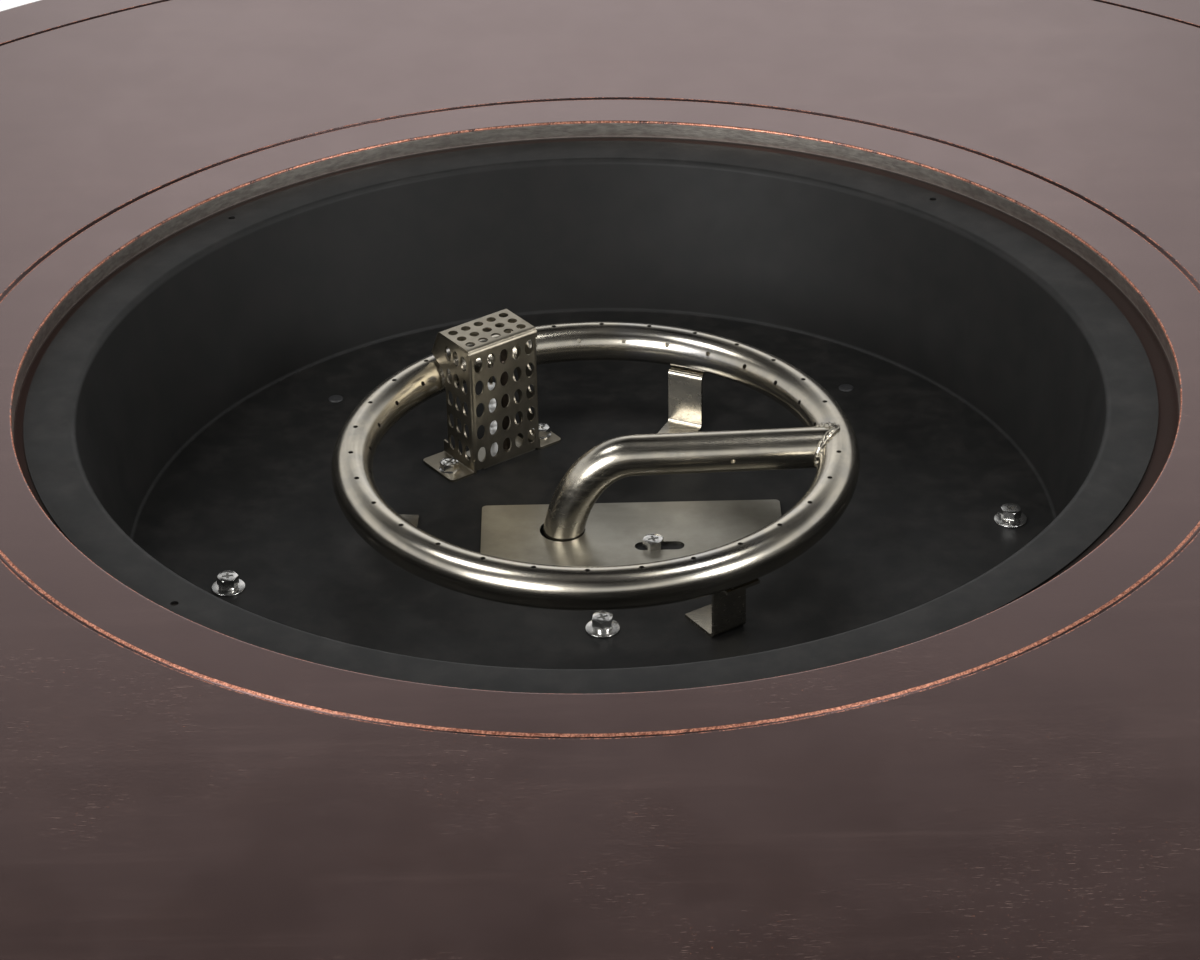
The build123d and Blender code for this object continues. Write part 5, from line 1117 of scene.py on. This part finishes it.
class FIREPIT_OT_shield(bpy.types.Operator):
    """Build the perforated igniter shield, folded from one sheet"""
    bl_idname = "firepit.shield"
    bl_label = "Igniter shield"

    def execute(self, context):
        size = context.scene.firepit_shield
        sheet, width, height = mm(size.sheet), mm(size.width), mm(size.height)
        half, depth = sheet / 2, 44
        wall_top = height - sheet - 0.45
        floor_plan = [(half, depth, 0), (half, half, 1.6), (width - half, half, 1.6), (width - half, depth, 0)]
        walls = prism(sheet_outline(floor_plan, sheet, 5), 0, wall_top)
        side_view = [(-2, -2, 0), (-2, height - 3.5, 0), (2.2, wall_top, 0), (32.2, wall_top, 0.5),
                     (40.9, 65.2, 1), (38.0, 63.6, 1), (31.3, 60.3, 2), (28.0, 54.0, 2), (28.0, -2, 0)]
        walls = combine(walls, prism(flat_line(side_view, steps=4), -2, width + 2, SIDE), "INTERSECT")
        hood = prism(sheet_outline([(half, height - 6, 0), (half, height - half, 3.4), (33.0, height - half, 2.5),
                                    (41.6, 66.2, 0)], sheet, 6), 0, width, SIDE)
        body = combine(walls, hood, "UNION")
        notch = prism(rectangle(sheet + 0.6, -3, width - sheet - 0.6, 3), -1, 2.0)
        body = combine(body, notch)
        for mirror in (False, True):
            body = combine(body, self.foot(sheet, width, mirror), "UNION")
        body = combine(body, self.holes(size))
        base = low_high("igniter_shield")[0].z
        body.transform(shield_matrix(size, base))
        piece("perforated_shield", body, "shield_steel", replaces=("igniter_shield",), sharp=30.0)
        dot = lathe([(0, -1.3), (1.2, -0.9), (1.6, 0), (1.2, 0.9), (0, 1.3)], 12, closed=False)
        places = [shield_matrix(size, base) @ Matrix.Translation((x, 1.3, height - 2.6)) for x in (0.9, width - 0.9)]
        piece("shield_weld_dots", copies(dot, places), "shield_steel", sharp=70.0)
        return {"FINISHED"}

    def foot(self, sheet, width, mirror):
        """Foot folded outwards from the left wall, or from the right one when mirrored."""
        half = sheet / 2
        outline = sheet_outline([(-16.5, half, 0), (half, half, 1.5), (half, 9, 0)], sheet, 5)
        form = prism(outline, -33, -0.3, FRONT)
        corner = flat_line([(-16.6, 0.2, 3), (6, 0.2, 0), (6, 33.2, 0), (-16.6, 33.2, 3)], steps=5)
        form = combine(form, prism(corner, -1, 12), "INTERSECT")
        if mirror:
            form.transform(Matrix.Translation((width, 0, 0)) @ Matrix.Scale(-1, 4, (1, 0, 0)))
            bmesh.ops.reverse_faces(form, faces=form.faces)
        return form

    def holes(self, size):
        """Cutters for the oval holes in the front and sides and the round ones in the hood."""
        width, height = mm(size.width), mm(size.height)
        wide, long = mm(size.hole_width), mm(size.hole_length)
        pitch, rise = mm(size.column_pitch), mm(size.row_pitch)
        turns = [math.tau * step / 24 for step in range(24)]
        oval = [(math.cos(turn) * (wide + 0.5) / 2, math.sin(turn) * long / 2) for turn in turns]
        columns = [(width - 4 * pitch) / 2 + pitch * column for column in range(5)]
        side_columns = [7.2 + 8.2 * column for column in range(3)]
        cutters = []
        for level in [height - 11 - rise * row for row in range(5)]:
            for x in columns:
                cutters.append(prism(oval, -3, 3, Matrix.Translation((x, 0, level)) @ FRONT))
            for y in side_columns:
                for x in (0, width):
                    cutters.append(prism(oval, -3, 3, Matrix.Translation((x, y, level)) @ SIDE))
        for x in columns:
            for row in range(3):
                cutters.append(prism(circle(wide / 2, 20, x, 8 + pitch * row), height - 4, height + 4))
        return joined(*cutters)


class FIREPIT_OT_igniter(bpy.types.Operator):
    """Build the electrode and the thermocouple inside the shield"""
    bl_idname = "firepit.igniter"
    bl_label = "Igniter"

    def execute(self, context):
        low, high = low_high("electrode_insulator")
        electrode = centre("electrode_insulator")
        outline = [(0, low.z, 0), (3.4, low.z, 0.3)]
        for rib in range(6):
            rise = high.z - 30 + rib * 4
            outline += [(3.4, rise, 0.4), (2.8, rise + 1.2, 0.4), (2.8, rise + 1.8, 0.4), (3.4, rise + 3.0, 0.4)]
        outline += [(3.4, high.z, 1.0), (0, high.z, 0)]
        form = lathe(flat_line(outline, False, 3), 32, (electrode.x, electrode.y, 0), False)
        piece("ribbed_insulator", form, "ceramic", replaces=("electrode_insulator",))
        low, high = low_high("thermocouple")
        middle = centre("thermocouple")
        outline = [(0, low.z, 0), (3.0, low.z, 0), (3.0, high.z - 13, 0.6), (2.1, high.z - 11.5, 0.6),
                   (2.1, high.z, 2.0), (0, high.z, 0)]
        form = lathe(flat_line(outline, False, 5), 28, (middle.x, middle.y, 0), False)
        piece("thermocouple_rod", form, "copper_rod", replaces=("thermocouple",))
        low, high = low_high("electrode_wire")
        level = high.z - 1.2
        tip = shield_matrix(context.scene.firepit_shield, 0).to_3x3() @ Vector((0, 11.5, 0))
        path = rounded([((electrode.x, electrode.y, low.z), 0), ((electrode.x, electrode.y, level), 3.0),
                        ((electrode.x + tip.x, electrode.y + tip.y, level), 0)], False, 8)
        piece("spark_wire", tube(path, 1.1, 14), "burner_steel", replaces=("electrode_wire",))
        return {"FINISHED"}


def bent_line(points, radius, bend, sides=20):
    """Round bar along straight runs joined by arcs."""
    line = [(points[0], 0)] + [(point, bend) for point in points[1:-1]] + [(points[-1], 0)]
    return tube(rounded(line, False, 10), radius, sides)


class FIREPIT_OT_gas_train(bpy.types.Operator):
    """Build the gas line, the leads, the air mixer and the fittings below the pan"""
    bl_idname = "firepit.gas_train"
    bl_label = "Gas train"

    def execute(self, context):
        valve_back = low_high("gas_valve")[1].y
        knob = centre("valve_spindle")
        level = low_high("gas_line")[0].z + 4.5
        points = [(knob.x, valve_back, knob.z), (knob.x, GAS_LINE_Y, knob.z), (knob.x, GAS_LINE_Y, level),
                  (*FEED_PLACE, level), (*FEED_PLACE, low_high("orifice_holder")[0].z)]
        piece("bent_gas_line", bent_line(points, 4.7, 22.0), "copper_tube", replaces=("gas_line",))
        self.leads(knob)
        self.mixer()
        return {"FINISHED"}

    def leads(self, knob):
        for node, slot, source, start, x in (
                ("spark_lead", "lead_red", "electrode_insulator", "igniter_housing", centre("igniter_housing").x),
                ("thermocouple_lead", "copper_tube", "thermocouple", "gas_valve", knob.x + 12)):
            end, bottom = centre(source), low_high(source)[0].z
            level = low_high(node)[0].z + 1.5
            points = [(x, low_high(start)[1].y, knob.z), (x, LEADS_Y, knob.z), (x, LEADS_Y, level),
                      (end.x, end.y, level), (end.x, end.y, bottom)]
            piece("bent_" + node, bent_line(points, 1.45, 12.0, 12), slot, replaces=(node,))

    def mixer(self):
        base = low_high("air_mixer")[0].z
        outline = flat_line([(4.6, 0, 0), (20.8, 0, 1), (20.8, 6, 1), (17, 6, 0.6), (17, 62, 1), (12.6, 62, 0.4),
                             (12.6, 47, 0), (10, 47, 0), (10, 6, 0)], steps=4)
        windows = cross_outline(48, 12)
        form = lathe(outline, 64, (*FEED_PLACE, base))
        form = combine(form, prism(windows, 14, 32, at(*FEED_PLACE, base)))
        piece("windowed_mixer", form, "cast_zinc", replaces=("air_mixer",))
        sleeve = lathe([(17.25, 0), (18.85, 0), (18.85, 27), (17.25, 27)], 64)
        sleeve = combine(sleeve, prism(windows, 8, 26))
        tab = prism(rectangle(18.2, -1.5, 28, 1.5), 0, 7.5, Matrix.Rotation(math.radians(-135), 4, "Z"))
        sleeve = joined(sleeve, tab)
        sleeve.transform(at(*FEED_PLACE, base + 6, 20))
        piece("turned_shutter", sleeve, "galvanised", replaces=("air_shutter",))


class FIREPIT_OT_controls(bpy.types.Operator):
    """Build the knob, its trim ring and the spark button"""
    bl_idname = "firepit.controls"
    bl_label = "Controls"

    def execute(self, context):
        low, high = low_high("control_knob")
        knob = centre("control_knob")
        bore, cap = 4.08, 15.0
        depth = high.y - low.y
        profile = flat_line([(bore, 0, 0), (24, 0, 0), (25.9, 0, 0.6), (25.9, 4.5, 1.6), (21, 7.2, 1.2),
                             (18.6, 8.5, 2), (16.8, depth, 2.2), (0, depth - 0.4, 0)], False, 6)
        form = lathe([(0, cap), (bore, cap)] + profile, 96, closed=False)
        count, reach = 16, 19.0
        flutes = []
        for index in range(count):
            turn = math.tau * (index + 0.5) / count
            flutes.append(prism(circle(1.5, 14, reach * math.cos(turn), reach * math.sin(turn)), 8.2, depth + 2))
        form = combine(form, joined(*flutes))
        form.transform(facing_front(knob.x, high.y, knob.z))
        piece("fluted_knob", form, "knob_black", "knob", ("control_knob",))
        pointer = prism(rectangle(-1.1, 9, 1.1, 22.6, 0.5), 6.4, 8.0)
        pointer.transform(facing_front(knob.x, high.y, knob.z))
        piece("knob_pointer", pointer, "plate_steel", "knob")
        ring = lathe(flat_line([(28.2, 0, 0), (32.8, 0, 0.4), (32.8, 1.2, 0.8), (30.5, 2, 1), (28.2, 2, 0.6)]), 96)
        ring.transform(facing_front(knob.x, low_high("knob_bezel")[1].y, knob.z))
        piece("turned_bezel", ring, "plate_steel", replaces=("knob_bezel",))
        self.button()
        self.inlet(knob.x)
        return {"FINISHED"}

    def button(self):
        button = centre("igniter_button")
        profile = flat_line([(0, 0, 0), (7.3, 0, 0.4), (7.3, 17.6, 1.4), (0, 18.0, 0)], False, 6)
        form = lathe(profile, 48, closed=False)
        form.transform(facing_front(button.x, low_high("igniter_button")[1].y, button.z))
        piece("domed_button", form, "button_black", "button", ("igniter_button",))
        low, high = low_high("igniter_housing")
        face = high.y - low.y
        profile = flat_line([(8.1, face - 16, 0), (8.1, face, 0.5), (13.8, face, 1), (13.8, face - 2.5, 0.3),
                             (10.9, face - 2.5, 0), (10.9, 0, 1), (0, 0, 0)], False, 5)
        form = lathe([(0, face - 16)] + profile, 64, closed=False)
        form.transform(facing_front(button.x, high.y, button.z))
        piece("turned_housing", form, "button_black", replaces=("igniter_housing",))

    def inlet(self, x):
        low, high = low_high("gas_inlet")
        y = centre("gas_inlet").y
        profile = [(4.0, low.z), (7.4, low.z)]
        level = low.z + 0.6
        while level < low.z + 12.5:
            profile += [(7.9, level + 0.35), (7.9, level + 0.6), (7.25, level + 0.95), (7.25, level + 1.1)]
            level += 1.41
        profile += [(7.6, low.z + 13.8), (4.0, low.z + 13.8)]
        head = hex_head(19.0, 8.0, 1.0)
        head.transform(Matrix.Translation((x, y, high.z)) @ Matrix.Rotation(math.pi, 4, "X"))
        piece("threaded_inlet", joined(lathe(profile, 48, (x, y, 0)), head), "brass", replaces=("gas_inlet",))


class FIREPIT_OT_cabinet(bpy.types.Operator):
    """Build the cabinet's panels, door, pull, feet and tank ring"""
    bl_idname = "firepit.cabinet"
    bl_label = "Cabinet"

    def execute(self, context):
        self.panels()
        self.door()
        self.pull()
        self.feet()
        self.tank_ring()
        return {"FINISHED"}

    def sheet(self, width, height, press, margin, slope):
        """Upright pressed sheet, its face at y = 0 towards -Y, centred on x and z."""
        steps = ((0.0, 0.0, 2.0), (margin - 3, 0.0, 10.0), (margin, 0.5, 9.0), (margin + slope - 1, press - 0.6, 7.0),
                 (margin + slope + 2, press, 6.0))
        front = [self.loop(width, height, inset, depth, corner) for inset, depth, corner in steps]
        back = [self.loop(width, height, inset, depth + PANEL_SHEET, corner) for inset, depth, corner in steps]
        return skin(front[::-1] + back)

    def loop(self, width, height, inset, depth, corner):
        """Upright rounded rectangle, set in from the sheet's edge."""
        half, tall = width / 2 - inset, height / 2 - inset
        return [(a, depth, b) for a, b in rectangle(-half, -tall, half, tall, corner, 5)]

    def panels(self):
        for node, turn in (("left_panel", -90), ("right_panel", 90), ("back_panel", 180)):
            low, high = low_high(node)
            width = max(high.x - low.x, high.y - low.y)
            height = high.z - low.z
            form = self.sheet(width, height, 6.0, 48.0, 8.0)
            if node != "back_panel":
                form = combine(form, self.vents(height / 2 - 82))
            outer = {"left_panel": (low.x, 0), "right_panel": (high.x, 0), "back_panel": (0, high.y)}[node]
            form.transform(at(*outer, centre(node).z, turn))
            piece("pressed_" + node, form, "cabinet_coat", replaces=(node,), sharp=40.0)

    def vents(self, reach):
        """Cutters for a row of slots at that distance above a panel's middle, and one below."""
        cutters = []
        for level in (reach, -reach):
            for index in range(5):
                move = Matrix.Translation((96.0 * (index - 2), 6, level))
                cutters.append(prism(slot_outline(64, 7, 8), -8, 8, move @ FRONT))
        return joined(*cutters)

    def door(self):
        low, high = low_high("door")
        middle = centre("door")
        width, height, depth = high.x - low.x, high.z - low.z, high.y - low.y
        sheet = PANEL_SHEET
        pressing = ((58.0, 6.0, 6.0), (55.0, 5.4, 7.0), (48.0, 0.5, 9.0), (45.0, 0.0, 10.0))
        steps = [*pressing,
                 (1.6, 0.0, 3.0), (0.4, 0.5, 3.6), (0.0, 1.8, 4.0),
                 (0.0, depth - 1.6, 4.0), (0.5, depth - 0.4, 3.6), (1.8, depth, 3.0),
                 (24.0, depth, 4.0), (24.0, depth - sheet, 4.0),
                 (sheet, depth - sheet, 2.5), (sheet, sheet, 2.5),
                 *[(inset, sheet + press, corner) for inset, press, corner in reversed(pressing)]]
        form = skin([self.loop(width, height, *step) for step in steps])
        form.transform(Matrix.Translation((middle.x, low.y, middle.z)))
        piece("pressed_door", form, "cabinet_coat", "door", ("door",), sharp=40.0)

    def pull(self):
        low, high = low_high("door_pull")
        middle = centre("door_pull")
        depth = high.y - low.y
        profile = flat_line([(2.1, 0, 0), (8, 0, 0.5), (6, 1.8, 1), (5.2, 5, 3), (6.5, 9.8, 1), (14, 10.4, 1.5),
                             (14.9, 13, 1.5), (14.2, 19, 2.5), (9, depth, 4), (0, depth, 0)], False, 6)
        form = lathe([(0, 9.0), (2.1, 9.0)] + profile, 72, closed=False)
        form.transform(facing_front(middle.x, high.y, middle.z))
        piece("turned_pull", form, "bronze_trim", "door", ("door_pull",))

    def feet(self):
        high = low_high("levelling_feet")[1]
        foot_radius = 16
        profile = flat_line([(0, 0.0, 0), (14.6, 0.0, 0.6), (15.9, 2.0, 1.2), (15.4, 6.5, 2), (8.5, 10.0, 1.5),
                             (4.1, 10.6, 0.5), (4.1, high.z, 0.5), (0, high.z, 0)], False, 5)
        places = on_square(high.x - foot_radius, 0, 0)
        piece("turned_feet", copies(lathe(profile, 48, closed=False), places), "foot_black",
              replaces=("levelling_feet",))

    def tank_ring(self):
        low, high = low_high("tank_ring")
        outer = (high.x - low.x) / 2
        inner = outer - 2
        profile = flat_line([(inner, low.z, 0.2), (outer, low.z, 0.2), (outer, high.z, 0.9), (inner, high.z, 0.9)],
                            steps=4)
        piece("rolled_tank_ring", lathe(profile, 120, (centre("tank_ring").x, 0, 0)), "frame_coat",
              replaces=("tank_ring",))


class FIREPIT_OT_finishes(bpy.types.Operator):
    """Give every CAD node that stays in view the finish of its record slot"""
    bl_idname = "firepit.finishes"
    bl_label = "Finishes"

    def execute(self, context):
        for entry in frame["record"]["subparts"]:
            mesh = frame["nodes"][entry["node"]].data
            mesh.materials.clear()
            mesh.materials.append(finish(entry["material_slot"]))
        return {"FINISHED"}


class FIREPIT_PT_panel(bpy.types.Panel):
    """Lists the pieces of the fire pit table and their sizes"""
    bl_idname = "FIREPIT_PT_panel"
    bl_label = "Fire pit table"
    bl_space_type = "VIEW_3D"
    bl_region_type = "UI"
    bl_category = "Fire pit"

    def draw(self, context):
        for name in SETTINGS:
            group = getattr(context.scene, name)
            box = self.layout.box()
            for key in group.__annotations__:
                box.prop(group, key)
        for operator in OPERATORS:
            self.layout.operator(operator.bl_idname)


OPERATORS = (FIREPIT_OT_stage, FIREPIT_OT_finishes, FIREPIT_OT_tabletop, FIREPIT_OT_pan, FIREPIT_OT_ring,
             FIREPIT_OT_feed, FIREPIT_OT_fasteners, FIREPIT_OT_shield, FIREPIT_OT_igniter, FIREPIT_OT_gas_train,
             FIREPIT_OT_controls, FIREPIT_OT_cabinet)
SETTINGS = {"firepit_table": FIREPIT_PG_table, "firepit_burner": FIREPIT_PG_burner,
            "firepit_shield": FIREPIT_PG_shield, "firepit_stage": FIREPIT_PG_stage}


def register():
    for group in SETTINGS.values():
        bpy.utils.register_class(group)
    for name, group in SETTINGS.items():
        setattr(bpy.types.Scene, name, bpy.props.PointerProperty(type=group))
    for operator in OPERATORS:
        bpy.utils.register_class(operator)
    bpy.utils.register_class(FIREPIT_PT_panel)


def unregister():
    bpy.utils.unregister_class(FIREPIT_PT_panel)
    for operator in reversed(OPERATORS):
        bpy.utils.unregister_class(operator)
    for name in SETTINGS:
        delattr(bpy.types.Scene, name)
    for group in reversed(SETTINGS.values()):
        bpy.utils.unregister_class(group)


def main():
    register()
    for operator in OPERATORS:
        family, name = operator.bl_idname.split(".")
        getattr(getattr(bpy.ops, family), name)()


if __name__ == "__main__":
    main()
